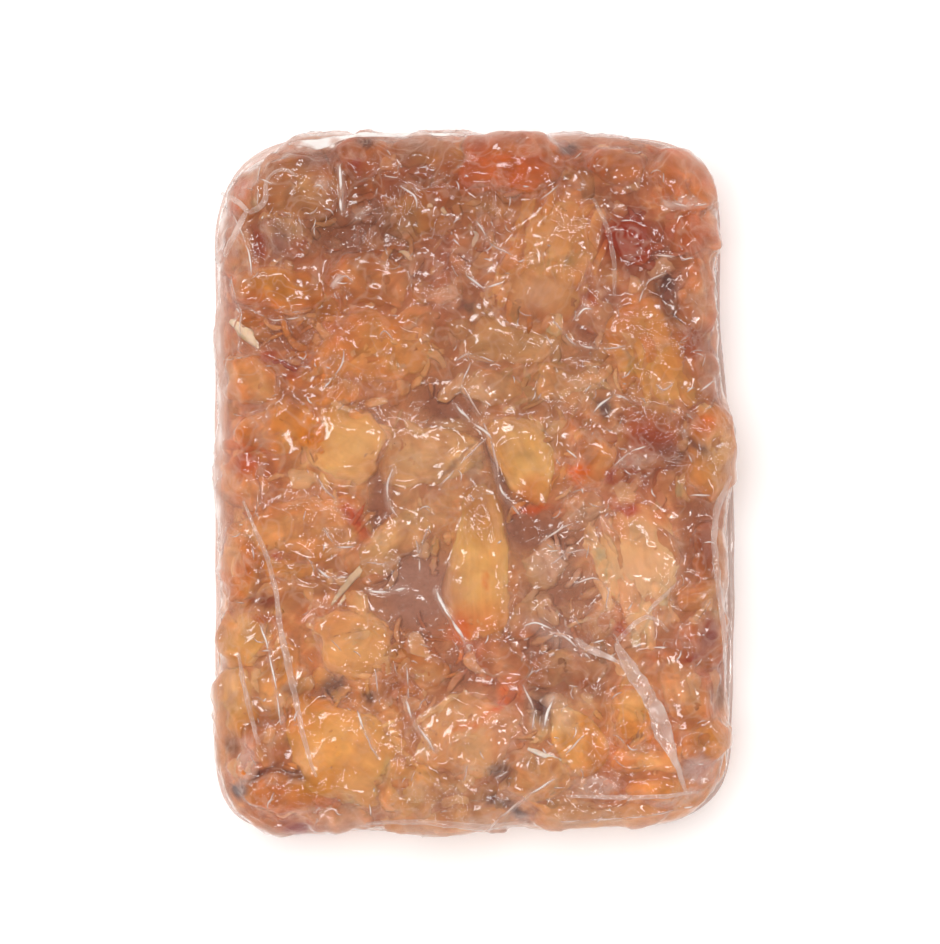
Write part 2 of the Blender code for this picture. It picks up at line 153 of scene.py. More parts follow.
LEGS = (
    (-18.8, -13.0, 22.0, 9.0, 36.0, 1.4, "#C4905E", "#BD8456", "#CFA072"),
    (-43.6, 43.0, 20.0, 10.0, -2.0, 2.0, "#C07A36", "#B96B34", "#C98A48"),
    (7.0, 31.0, 23.0, 10.0, -8.0, 1.7, "#C69A66", "#BC8A5C", "#CCA26E"),
    (37.6, -61.0, 17.0, 6.5, -4.0, 2.0, "#E29458", "#D88450", "#E4A068"),
    (38.8, -67.0, 14.0, 5.5, -2.0, 1.6, "#DC8844", "#D07440", "#DE9454"),
    (46.0, -45.0, 19.0, 10.5, 108.0, 2.2, "#CE8250", "#C87A4A", "#CC8458"),
    (-38.8, -9.6, 29.0, 12.5, 5.0, 2.0, "#D08B54", "#CA824A", "#D2945E"),
    (-41.6, -18.6, 13.0, 6.0, 2.0, 1.5, "#C07B3A", "#B56E36", "#C07B3A"),
    (50.4, -14.5, 14.0, 6.0, 88.0, 1.2, "#A45430", "#96482C", "#A85C36"),
    (3.4, 21.6, 14.0, 8.0, -14.0, 1.3, "#C08E62", "#B8845A", "#C6966A"),
    (-6.0, -73.2, 28.0, 8.5, 1.0, 2.2, "#C89264", "#C28C62", "#CE9662"),
    (27.6, -72.0, 30.0, 7.5, 2.0, 1.9, "#C99870", "#C69066", "#C88A5A"),
)
LUMPS = (
    (8.2, 70.6, 27.0, 15.0, 2.0, 2.4, "#BE6A38", "#B8562F", "#C07A44"),
    (46.4, 66.2, 17.0, 13.0, -36.0, 2.0, "#C66F33", "#BC6530", "#C97A3E"),
    (-24.6, 72.2, 12.0, 11.0, 20.0, 1.7, "#BA6A3A", "#AA5C34", "#BE7644"),
    (-38.2, 65.6, 22.0, 13.5, 8.0, 1.5, "#AE7048", "#A2683F", "#B47A54"),
    (-49.6, 63.6, 10.0, 12.0, 30.0, 1.4, "#BE7A48", "#B86F3E", "#C48858"),
    (-51.6, 50.8, 8.0, 15.0, -6.0, 1.4, "#B2663C", "#A25434", "#B87048"),
    (-41.6, 54.4, 13.0, 10.5, -20.0, 1.2, "#A8745C", "#A06A54", "#B07E62"),
    (-22.6, 44.8, 18.0, 10.5, -12.0, 1.8, "#C07C4A", "#B46C3E", "#C48A5C"),
    (-8.6, 42.6, 13.0, 9.0, 14.0, 1.1, "#BE8464", "#B67C5C", "#C08C6A"),
    (-11.4, 60.8, 15.0, 11.5, 25.0, 1.0, "#AE7444", "#A2663A", "#B88050"),
    (-1.0, 54.6, 11.0, 9.5, 60.0, 0.9, "#B67C5C", "#AE7050", "#BE8866"),
    (-9.4, 72.2, 18.0, 9.0, 0.0, 1.6, "#B07C50", "#A87046", "#B88658"),
    (31.4, 70.2, 14.0, 9.5, -8.0, 1.5, "#B07048", "#A8623E", "#B87E54"),
    (33.0, 54.2, 12.5, 9.0, -18.0, 1.1, "#96442A", "#8C3824", "#A2543A"),
    (48.6, 55.6, 11.0, 11.5, 10.0, 1.5, "#BE6236", "#B2542E", "#C67240"),
    (49.2, 42.0, 16.0, 9.0, 82.0, 1.7, "#C67E50", "#C07444", "#CA885C"),
    (49.6, 25.6, 19.0, 8.5, 97.0, 1.6, "#A4603C", "#9A4E30", "#B0704A"),
    (20.4, 22.4, 18.0, 9.0, -6.0, 1.4, "#BC8A5E", "#B27E52", "#C2946A"),
    (-23.4, 30.6, 27.0, 16.0, 12.0, 2.3, "#D4924E", "#CA8442", "#D69C62"),
    (-34.4, 21.2, 17.0, 9.0, -18.0, 1.6, "#C67C40", "#BA6C36", "#C88650"),
    (-49.2, 23.4, 14.0, 11.5, 6.0, 1.9, "#C28046", "#B87640", "#C68C58"),
    (-43.8, 12.2, 19.5, 13.0, 14.0, 2.1, "#CC7C36", "#C26E30", "#D28A44"),
    (-28.4, 8.4, 18.5, 17.5, -35.0, 2.8, "#DEA868", "#D89A54", "#DCA466"),
    (52.2, 6.8, 22.0, 11.5, 91.0, 2.0, "#CC9454", "#C48A50", "#CC8E4A"),
    (38.0, 9.4, 16.5, 15.5, 20.0, 1.5, "#9E5434", "#8C4028", "#AE6A46"),
    (25.6, 6.2, 14.5, 10.5, 86.0, 2.0, "#C87A3C", "#C26E38", "#C4804A"),
    (24.0, -6.2, 11.5, 9.5, 0.0, 1.2, "#B98A6C", "#B08064", "#BE9274"),
    (14.6, -17.6, 11.0, 10.0, 20.0, 0.8, "#C29678", "#BA8C6E", "#C69E80"),
    (-50.8, 0.4, 14.0, 11.0, 84.0, 1.8, "#C0703A", "#B05A30", "#C87E46"),
    (-51.4, -17.0, 17.5, 10.5, 86.0, 1.9, "#CA8040", "#C27438", "#CE8C50"),
    (-51.2, -34.4, 13.5, 12.5, 60.0, 2.0, "#D0924A", "#CA8642", "#D49C5C"),
    (-52.0, -47.8, 14.5, 10.5, 86.0, 1.8, "#CE9250", "#CA8842", "#D2A068"),
    (-43.0, -42.4, 15.5, 10.0, 78.0, 1.9, "#C8803C", "#C07436", "#CC8C4C"),
    (-27.2, -34.4, 20.5, 15.5, -10.0, 2.6, "#DB9E62", "#D8925A", "#D89A58"),
    (-12.6, -39.8, 12.0, 10.5, -40.0, 1.4, "#B66C3C", "#AC6036", "#C07E4C"),
    (-29.6, -59.0, 27.0, 22.0, -30.0, 2.8, "#E3A158", "#DC9444", "#E2AC6C"),
    (-14.8, -66.4, 18.0, 13.0, -16.0, 2.0, "#CC8E54", "#C8844A", "#CE9860"),
    (-42.6, -67.4, 20.0, 10.5, -10.0, 2.1, "#BE6C34", "#C47834", "#B2643A"),
    (-1.2, -55.2, 22.5, 19.5, 18.0, 2.5, "#D2996A", "#CC8E62", "#D08E64"),
    (14.4, -64.6, 15.0, 9.5, 10.0, 1.7, "#C8905C", "#C08450", "#CC9A6A"),
    (35.0, -50.4, 14.5, 10.0, 80.0, 2.1, "#D88C40", "#D28238", "#DE9C58"),
    (50.2, -33.6, 14.5, 11.0, 74.0, 1.7, "#B4683A", "#A04A2C", "#C48A58"),
    (49.4, -24.2, 10.5, 8.5, 10.0, 1.3, "#C4824A", "#BC7640", "#C88E5A"),
    (50.6, -56.8, 12.0, 9.5, 8.0, 1.7, "#CC8038", "#C67634", "#D08C4C"),
    (-30.4, -73.2, 16.0, 8.0, -4.0, 1.6, "#C88E72", "#C48468", "#CC967A"),
    (19.6, -40.4, 18.0, 9.0, -6.0, 0.8, "#A87050", "#9E6448", "#B07C5C"),
    (6.6, -38.6, 13.5, 9.0, -28.0, 1.2, "#B86A44", "#BE5A38", "#B67850"),
    (-44.8, -56.4, 11.5, 10.5, 15.0, 1.5, "#B8704A", "#AE6444", "#C07E5A"),
    (29.0, -30.2, 11.0, 9.5, 30.0, 1.4, "#C48E68", "#BE845E", "#CA9874"),
    (26.6, 37.2, 10.0, 8.0, -40.0, 0.9, "#A86C50", "#A0604A", "#B07A5E"),
    (10.6, -29.8, 10.0, 7.5, 30.0, 0.8, "#A87458", "#9E6A50", "#B08064"),
)
PIECES = CLAWS + LEGS + LUMPS
PIECE_OVALS = np.array([row[:5] for row in PIECES])
TORN_CLAWS = (CLAWS[0], CLAWS[1], CLAWS[5])
FLAT = 0.85  # a piece lower than this is a round jelly without loose fibres
# Pieces that no shreds cover: the claws, the pale lumps and the round jelly
WHOLE = CLAWS + tuple(row for row in LUMPS if row[5] > 2.4 or row[5] < FLAT)
# The colours of the pieces that stand clear of the juice, for the walls and the underside
PALETTE = [row[6:] for row in LUMPS + LEGS if row[5] > 1.3]

THICKNESS_SHARE = 3.4  # a piece is this many times as thick as it stands over the juice
LEAST_THICKNESS = 5.6
CLAW_TAPER = 0.5
CLAW_THINNING = 0.65
UNEVENNESS = 0.11
BUMP_SPACING = 0.42  # of the piece's length
# How square each kind is seen from above and from the side, where 2 is an ellipse
BLUNTNESS = {
    "claw": (2.7, 2.8),
    "leg": (3.0, 3.0),
    "lump": (2.4, 3.6),
    "wall": (2.4, 2.4),
    "foot": (2.4, 3.6),
}
TEARING = {"claw": 0.5, "leg": 1.2, "lump": 1.9}  # how far an outline is torn

# Stains and tints in the meat: x, y, half length, half width, turn, colour, strength
STAINS = (
    (-24.0, 75.4, 2.0, 1.0, 0, "#4A2218", 0.9),
    (20.9, 74.1, 2.2, 1.1, 10, "#5A2E22", 0.85),
    (42.5, 44.7, 1.7, 2.6, 20, "#613D38", 0.85),
    (28.3, 16.8, 1.4, 2.1, 0, "#5C3A3C", 0.85),
    (-1.8, 39.6, 1.8, 1.2, 0, "#6A3B31", 0.7),
    (-52.0, -67.0, 1.8, 2.0, 0, "#483035", 0.9),
    (-47.8, -64.0, 4.2, 0.9, 30, "#623129", 0.8),
    (-40.4, -63.4, 3.6, 1.0, -10, "#623129", 0.8),
    (-35.4, -65.6, 2.6, 0.8, -45, "#623129", 0.7),
    (5.0, -69.6, 3.4, 0.9, -20, "#563838", 0.8),
    (9.6, -72.4, 2.8, 0.9, -38, "#51383C", 0.85),
    (53.9, -46.2, 2.2, 2.8, 0, "#7A5238", 0.6),
    (-31.6, -44.2, 2.6, 2.2, 30, "#7A5248", 0.7),
    (-23.0, -47.0, 1.2, 1.6, 0, "#5A393A", 0.8),
    (5.6, -63.4, 2.6, 2.2, 0, "#6A443C", 0.8),
    (14.6, -49.4, 1.9, 4.0, 10, "#61342E", 0.85),
    (49.0, 8.6, 3.2, 1.0, -45, "#613D38", 0.8),
    (42.4, 39.4, 1.8, 8.0, 25, "#6E3426", 0.7),
    (-26.0, 70.4, 1.7, 1.7, 0, "#992E12", 0.8),
    (12.1, 71.5, 4.4, 1.6, 0, "#AF3C14", 0.6),
    (1.8, 72.0, 3.0, 1.8, 10, "#B8461A", 0.5),
    (-47.4, 52.8, 1.6, 4.0, 20, "#912E14", 0.8),
    (-43.0, 53.6, 2.0, 3.6, 10, "#8A5A50", 0.7),
    (-39.2, 51.7, 2.2, 2.8, 0, "#973A1A", 0.7),
    (33.4, 53.9, 5.6, 3.8, -20, "#96280A", 0.95),
    (47.3, 30.8, 2.6, 4.0, 10, "#9B3C16", 0.75),
    (38.5, 9.9, 4.6, 3.2, 0, "#973413", 0.75),
    (43.0, 7.0, 4.0, 2.4, -20, "#7E4636", 0.7),
    (30.4, 1.8, 1.8, 1.6, 0, "#992E12", 0.8),
    (-50.6, 5.5, 2.4, 3.2, -20, "#B84012", 0.75),
    (-26.4, -7.7, 1.3, 4.4, 33, "#C94312", 0.9),
    (-43.4, -15.6, 0.9, 0.8, 0, "#B13419", 0.8),
    (-51.0, -18.6, 1.6, 2.2, 0, "#C05412", 0.7),
    (-52.0, 66.0, 2.4, 2.2, 0, "#B84E24", 0.8),
    (-53.6, 61.2, 2.0, 1.8, 0, "#B44820", 0.8),
    (-46.2, -25.4, 3.4, 1.2, 0, "#8A2C12", 0.85),
    (-45.4, -29.2, 3.6, 1.2, -10, "#A94214", 0.7),
    (7.9, -44.6, 2.3, 3.0, 0, "#EC6C2D", 0.75),
    (4.6, -49.0, 2.4, 0.6, 38, "#E25A19", 0.8),
    (-1.6, -52.6, 3.6, 0.5, 10, "#E3681D", 0.6),
    (33.7, -5.1, 2.8, 1.1, -12, "#B82E10", 0.8),
    (12.4, -5.4, 3.6, 1.0, 8, "#D65012", 0.7),
    (32.2, -31.4, 1.6, 1.8, 0, "#C5451A", 0.8),
    (51.4, -32.6, 1.8, 4.0, -10, "#8A1F0C", 0.85),
    (47.3, -38.1, 3.0, 1.0, 14, "#97240D", 0.85),
    (51.0, -14.4, 1.6, 6.0, 0, "#994416", 0.8),
    (-39.2, -76.3, 3.6, 2.0, -14, "#880F08", 1.0),
    (-45.5, 28.4, 1.4, 1.4, 0, "#AF3A17", 0.8),
    (-39.0, 25.6, 4.4, 1.1, 38, "#9B3A17", 0.7),
    (24.8, 41.4, 3.2, 0.9, -35, "#A43C19", 0.8),
    (-3.0, -31.6, 2.2, 3.4, 15, "#D65412", 0.7),
    (2.2, -21.0, 0.6, 1.5, 10, "#E0642A", 0.55),
    (-35.9, 10.2, 2.8, 2.8, 0, "#D87818", 1.0),
    (23.1, 2.9, 2.2, 1.8, 0, "#E56010", 0.85),
    (-44.0, 44.0, 7.0, 2.6, 0, "#CC7C28", 0.5),
    (50.4, 13.6, 2.4, 2.0, 20, "#D66012", 0.7),
    (-34.6, -66.4, 5.0, 2.4, 15, "#D68420", 0.6),
    (-29.6, -63.0, 6.0, 1.4, 5, "#D08028", 0.5),
    (24.2, -43.6, 2.4, 1.8, 0, "#A44A21", 0.6),
    (-5.0, 12.6, 3.0, 1.6, 0, "#D8A26C", 0.5),
    (44.6, -67.4, 3.6, 2.6, 0, "#CC7C28", 0.6),
    (48.8, -62.6, 3.2, 2.8, 0, "#C08C80", 0.8),
    (-14.0, 59.0, 5.0, 4.0, 0, "#A06A34", 0.5),
    (3.0, 62.0, 6.0, 3.0, 0, "#B47E50", 0.5),
    (0.6, -4.6, 3.4, 4.2, 0, "#A8683C", 0.7),
    (6.6, 70.0, 7.0, 4.0, 0, "#C2540A", 0.9),
    (-35.0, 71.8, 3.6, 2.2, 10, "#80584A", 0.75),
    (-26.0, 56.0, 6.4, 4.2, 20, "#8C5038", 0.75),
    (-12.0, -23.0, 8.0, 8.0, 0, "#AE7C6A", 0.7),
    (13.8, 42.0, 5.0, 3.6, 0, "#D49E76", 0.5),
    (6.0, -0.6, 0.9, 10.0, 21, "#80503E", 0.7),
    (-4.1, 5.2, 0.5, 7.0, -45, "#8A5A48", 0.6),
    (0.4, 5.0, 1.6, 3.6, -10, "#96705E", 0.5),
    (-40.5, -44.9, 1.8, 1.6, 0, "#7A5040", 0.7),
    (-53.5, -57.6, 1.6, 2.4, 0, "#7A4A3A", 0.7),
)
# Broad washes of brown juice through the meat: x, y, half length, half width, what is left of red,
# green and blue
WASHES = (
    (9.0, 68.0, 27.0, 18.0, (0.84, 0.66, 0.50)),
    (33.4, 53.9, 7.0, 5.0, (0.80, 0.52, 0.40)),
    (-16.0, 60.0, 16.0, 14.0, (0.84, 0.72, 0.68)),
    (4.0, 36.0, 40.0, 16.0, (0.88, 0.76, 0.70)),
    (50.0, 20.0, 12.0, 26.0, (0.92, 0.84, 0.80)),
    (-34.0, 64.0, 22.0, 14.0, (0.82, 0.74, 0.60)),
    (-40.0, 36.0, 18.0, 12.0, (0.94, 0.84, 0.76)),
)
# The frozen juice is darker where it lies deep: x, y, half length, half width, turn, strength
HOLLOWS = (
    (-26.5, 56.0, 6.0, 4.2, 20, 0.7),
    (-16.5, 48.4, 4.0, 3.0, 0, 0.5),
    (40.7, 48.4, 4.0, 4.0, 0, 0.6),
    (41.8, 41.8, 2.5, 5.0, 20, 0.8),
    (27.5, 33.0, 4.0, 3.0, 0, 0.5),
    (-6.5, 17.0, 6.0, 3.6, -35, 1.0),
    (-23.1, 15.4, 3.0, 3.0, 0, 0.6),
    (-20.9, -3.4, 1.8, 6.0, 0, 1.0),
    (-12.5, -23.3, 8.0, 9.0, 0, 0.8),
    (12.8, -10.2, 7.5, 4.6, -25, 1.0),
    (15.4, -49.4, 2.6, 5.0, 10, 0.8),
    (-41.8, 33.0, 4.0, 2.5, 0, 0.5),
    (-3.3, -40.7, 3.0, 4.0, 0, 0.7),
    (-31.9, -45.1, 3.0, 3.0, 0, 0.6),
    (50.6, -13.2, 2.6, 7.0, 0, 0.7),
    (1.6, 30.0, 1.2, 5.0, 25, 0.4),
    (5.2, 1.0, 1.2, 10.0, 21, 0.9),
    (-4.1, 5.2, 0.6, 7.5, -45, 0.7),
    (22.0, -25.0, 7.0, 5.0, 0, 0.6),
    (-26.0, -28.0, 4.0, 2.0, 0, 0.5),
    (14.0, -36.0, 9.0, 3.0, 0, 0.6),
)
# Where the meat is picked fine: x, y, half width, half height
PICKED_FINE = (
    (-36.0, 64.0, 14.0, 10.0),
    (-6.0, 55.0, 17.0, 14.0),
    (37.0, 8.0, 14.0, 12.0),
    (20.0, -35.0, 18.0, 8.0),
    (-34.0, 52.0, 16.0, 8.0),
    (-38.0, 30.0, 14.0, 10.0),
    (44.0, 34.0, 10.0, 16.0),
    (-22.0, -48.0, 12.0, 6.0),
    (0.0, -70.0, 40.0, 7.0),
    (-46.0, -62.0, 8.0, 12.0),
)
# Where the juice is clear: x, y, reach
CLEAR_JUICE = ((-13.5, -25.3, 8.0), (12.1, -9.8, 5.0), (-5.5, 16.9, 4.0), (-20.9, -3.4, 4.0))
# The clearest of it, with most of the bubbles: x, y, half length, half width
CLEAREST = ((-12.5, -20.0, 5.0, 6.0), (12.8, -10.2, 5.0, 4.0))
# Strips that show by themselves: the path, the half width at each point, how deep, and the colour
STRIPS = (
    (((-54.2, 36.4), (-52.8, 35.4), (-51.0, 34.0), (-49.2, 32.2), (-47.6, 30.0)),
     (0.6, 1.5, 1.7, 1.3, 0.3), 0.0, "#F2CCA8"),  # a chip of pale cartilage
    (((11.6, -58.0), (13.6, -58.8), (15.6, -59.6), (17.4, -60.2), (19.2, -60.8)),
     (0.4, 0.6, 0.6, 0.6, 0.4), 0.2, "#F8DECB"),
    (((-31.8, -26.6), (-30.2, -24.4), (-28.6, -22.4), (-26.8, -20.2), (-24.8, -18.0)),
     (0.25, 0.6, 0.8, 0.9, 1.2), 0.35, "#E4C09C"),
    (((-30.2, -26.8), (-29.0, -25.2), (-28.2, -23.4)), (0.2, 0.4, 0.3), 0.35, "#E4C09C"),
    (((-28.8, -10.8), (-26.8, -8.4), (-25.2, -6.0), (-24.2, -3.8)), (0.3, 0.6, 0.5, 0.2), 0.35, "#C4562A"),
    (((-27.4, -11.6), (-25.4, -9.6), (-24.0, -7.4)), (0.25, 0.5, 0.2), 0.35, "#C9693C"),
    (((4.6, -50.0), (6.2, -48.4), (7.8, -46.4), (8.6, -44.4), (8.4, -42.6)), (0.4, 0.9, 1.2, 1.3, 0.5), 0.6,
     "#CC6A44"),
    (((21.4, -33.6), (19.0, -33.0), (16.4, -32.2)), (0.3, 0.5, 0.2), 0.3, "#D8A890"),
    (((-45.6, 26.8), (-42.8, 27.2), (-39.6, 25.4), (-36.4, 22.6)), (0.3, 0.7, 0.6, 0.3), 0.4, "#9C4228"),
    (((-12.6, 60.2), (-10.0, 61.6), (-7.4, 60.8), (-5.4, 58.4)), (0.3, 0.7, 0.7, 0.3), 0.3, "#D2A27E"),
    (((-2.4, 50.6), (-0.4, 52.4), (0.4, 55.0), (-0.6, 57.4)), (0.3, 0.8, 0.8, 0.3), 0.3, "#CDA084"),
    (((-18.0, 52.4), (-15.2, 51.0), (-13.4, 48.6)), (0.3, 0.7, 0.3), 0.3, "#CFA07E"),
)
# Creases where the film was drawn over the meat: points along each, half width, height, milkiness, which also
# paints the white glint of the crease strokes
CREASES = (
    (((-4.4, 17.6), (-1.0, 14.0), (3.3, 11.0), (4.6, 6.0), (5.5, -1.1), (9.9, -6.6)), 0.9, 0.7, 0.3),
    (((-1.0, 27.0), (-3.0, 22.0), (0.8, 16.0), (2.8, 11.4)), 0.8, 0.6, 0.2),
    (((2.8, 10.6), (-3.0, 5.0), (-7.6, 0.0)), 0.8, 0.5, 0.2),
    (((-8.6, -22.9), (-7.7, -25.3), (-5.6, -28.8), (-3.0, -33.0), (-1.2, -36.3)), 0.8, 0.9, 0.5),
    (((-18.0, 3.6), (-18.9, 1.4), (-19.4, -2.0), (-18.8, -4.6), (-17.5, -6.5)), 0.8, 0.8, 0.4),
    (((-23.6, -23.3), (-20.0, -23.6), (-15.2, -22.7)), 0.8, 0.7, 0.4),
    (((-34.6, -18.2), (-33.2, -19.8), (-31.4, -20.5), (-28.2, -20.1)), 0.8, 0.7, 0.4),
    (((15.2, -53.0), (16.0, -50.0), (17.2, -46.6)), 0.8, 0.8, 0.5),
    (((-29.7, 70.4), (-29.4, 66.0), (-29.6, 63.0), (-29.3, 60.1)), 0.9, 0.9, 0.5),
    (((-30.4, 44.4), (-29.6, 45.8), (-28.0, 46.0), (-27.0, 44.6)), 0.8, 0.6, 0.3),
    (((14.3, 62.7), (18.7, 66.0)), 0.7, 0.5, 0.2),
    (((22.4, 37.2), (23.8, 39.2), (25.6, 38.6)), 0.8, 0.6, 0.4),
    (((43.3, 62.0), (46.0, 61.4), (51.3, 61.6)), 0.9, 0.6, 0.5),
    (((39.6, 50.6), (44.0, 50.2)), 0.7, 0.5, 0.2),
    (((-15.4, -47.3), (-13.6, -52.0), (-11.0, -55.0), (-8.8, -58.3)), 0.8, 0.6, 0.5),
    (((47.3, -2.2), (51.7, -2.2)), 0.7, 0.5, 0.2),
    (((-4.4, 27.3), (-2.0, 28.8), (1.6, 28.2), (4.0, 27.0)), 0.7, 0.5, 0.2),
    (((-28.6, 29.7), (-28.8, 27.4), (-30.0, 25.0), (-33.0, 21.3)), 0.7, 0.5, 0.2),
    (((-20.9, 32.8), (-19.8, 34.4), (-18.6, 33.0), (-18.0, 31.9)), 0.7, 0.5, 0.2),
    (((-34.6, 1.6), (-33.0, -1.0), (-30.4, -3.4)), 0.8, 0.5, 0.3),
    (((-33.2, -9.6), (-30.0, -14.0), (-26.6, -13.4)), 0.7, 0.5, 0.3),
    (((-24.0, -17.0), (-20.4, -17.4), (-17.6, -16.6)), 0.7, 0.5, 0.3),
    (((-13.0, -12.0), (-12.0, -19.0)), 0.7, 0.4, 0.2),
    (((-10.2, -9.0), (-12.4, -15.0)), 0.7, 0.4, 0.2),
    (((14.4, -12.6), (19.0, -9.4), (23.0, -8.0)), 0.7, 0.5, 0.3),
    (((16.6, -17.4), (20.0, -15.0), (24.6, -14.2)), 0.7, 0.5, 0.3),
    (((22.0, -22.0), (26.0, -20.0), (29.4, -22.6), (28.8, -27.0)), 0.7, 0.5, 0.3),
    (((10.6, -31.0), (14.0, -30.0), (20.0, -33.6), (25.0, -38.0)), 0.8, 0.5, 0.4),
    (((30.4, 4.0), (34.0, 7.4), (37.4, 8.6)), 0.7, 0.5, 0.3),
    (((26.0, 16.0), (30.4, 20.0), (36.0, 18.0)), 0.7, 0.5, 0.3),
    (((40.0, 22.0), (41.6, 20.4), (43.4, 22.6)), 0.7, 0.5, 0.3),
    (((49.4, 20.6), (52.4, 23.0)), 0.7, 0.4, 0.3),
    (((-47.5, 71.3), (-47.7, 61.4)), 0.6, 0.4, 0.3),
    (((-53.6, 60.0), (-50.0, 52.0), (-49.0, 46.0)), 0.7, 0.4, 0.4),
    (((-50.0, 39.0), (-44.0, 36.0), (-37.0, 37.4)), 0.7, 0.4, 0.2),
    (((-16.5, 66.0), (-13.0, 63.6), (-12.8, 60.6)), 0.7, 0.5, 0.2),
    (((-20.0, 67.8), (-17.0, 67.6)), 0.7, 0.5, 0.2),
    (((-35.4, 65.6), (-33.6, 66.4), (-33.0, 63.8)), 0.7, 0.5, 0.3),
    (((0.4, 58.0), (3.4, 53.0), (8.0, 50.6)), 0.7, 0.5, 0.3),
    (((-2.0, 46.0), (2.2, 43.0), (6.0, 44.6)), 0.7, 0.5, 0.3),
    (((17.0, 36.4), (21.6, 31.0), (28.0, 29.8), (33.0, 30.6)), 0.8, 0.5, 0.3),
    (((36.0, 40.0), (38.0, 45.0), (42.0, 47.0)), 0.7, 0.5, 0.2),
    (((-47.0, -30.8), (-45.0, -38.0), (-43.6, -45.0), (-42.6, -52.6)), 0.7, 0.4, 0.5),
    (((-26.0, -49.6), (-24.4, -54.0), (-21.4, -60.0)), 0.8, 0.5, 0.3),
    (((-22.0, -40.4), (-21.0, -48.0)), 0.7, 0.5, 0.2),
    (((-15.0, -40.0), (-14.6, -47.0)), 0.7, 0.5, 0.2),
    (((10.6, -44.0), (13.0, -49.6), (12.6, -53.6)), 0.8, 0.6, 0.4),
    (((20.0, -59.0), (24.0, -55.0)), 0.7, 0.4, 0.2),
    (((-2.6, -65.0), (-1.6, -61.4)), 0.7, 0.5, 0.3),
    (((2.8, -76.0), (7.0, -72.0), (12.0, -68.0), (17.6, -64.6)), 0.8, 0.5, 0.5),
    (((-54.0, 46.0), (-51.4, 38.0), (-52.0, 30.0)), 0.6, 0.4, 0.3),
    (((19.0, -74.0), (34.0, -73.4), (48.0, -71.0)), 0.7, 0.4, 0.4),
)
# Milky places where the film is doubled or stands off the meat: x, y, half length, half width, turn,
# milkiness
MILKY = (
    (-37.0, 75.6, 8.0, 2.2, 6, 0.6),
    (-34.6, 75.3, 5.0, 1.2, 4, 0.95),
    (-5.0, 76.6, 3.6, 0.8, 0, 0.6),
    (-18.0, 77.2, 16.0, 0.9, 0, 0.4),
    (45.6, 62.0, 4.4, 1.4, 0, 0.55),
    (26.5, -66.2, 5.4, 2.2, 3, 0.5),
    (-51.5, 67.0, 2.6, 5.0, -35, 0.45),
    (-53.8, 57.0, 1.6, 7.0, 8, 0.4),
    (-50.6, -62.0, 2.4, 6.0, -10, 0.45),
    (49.6, -63.0, 4.0, 3.0, 10, 0.45),
    (46.0, -69.0, 6.0, 1.6, 12, 0.5),
    (5.0, -74.0, 9.0, 1.8, 4, 0.45),
    (-30.0, 45.0, 2.2, 1.0, 40, 0.7),
    (-34.0, 66.0, 1.6, 1.6, 0, 0.5),
    (-24.8, 60.0, 2.4, 1.2, 30, 0.35),
    (1.0, 0.0, 1.2, 4.0, 20, 0.15),
    (18.0, -33.0, 8.0, 2.2, -28, 0.35),
    (-47.0, 14.0, 2.4, 6.0, 10, 0.25),
    (36.0, 5.6, 4.6, 1.6, 8, 0.4),
)
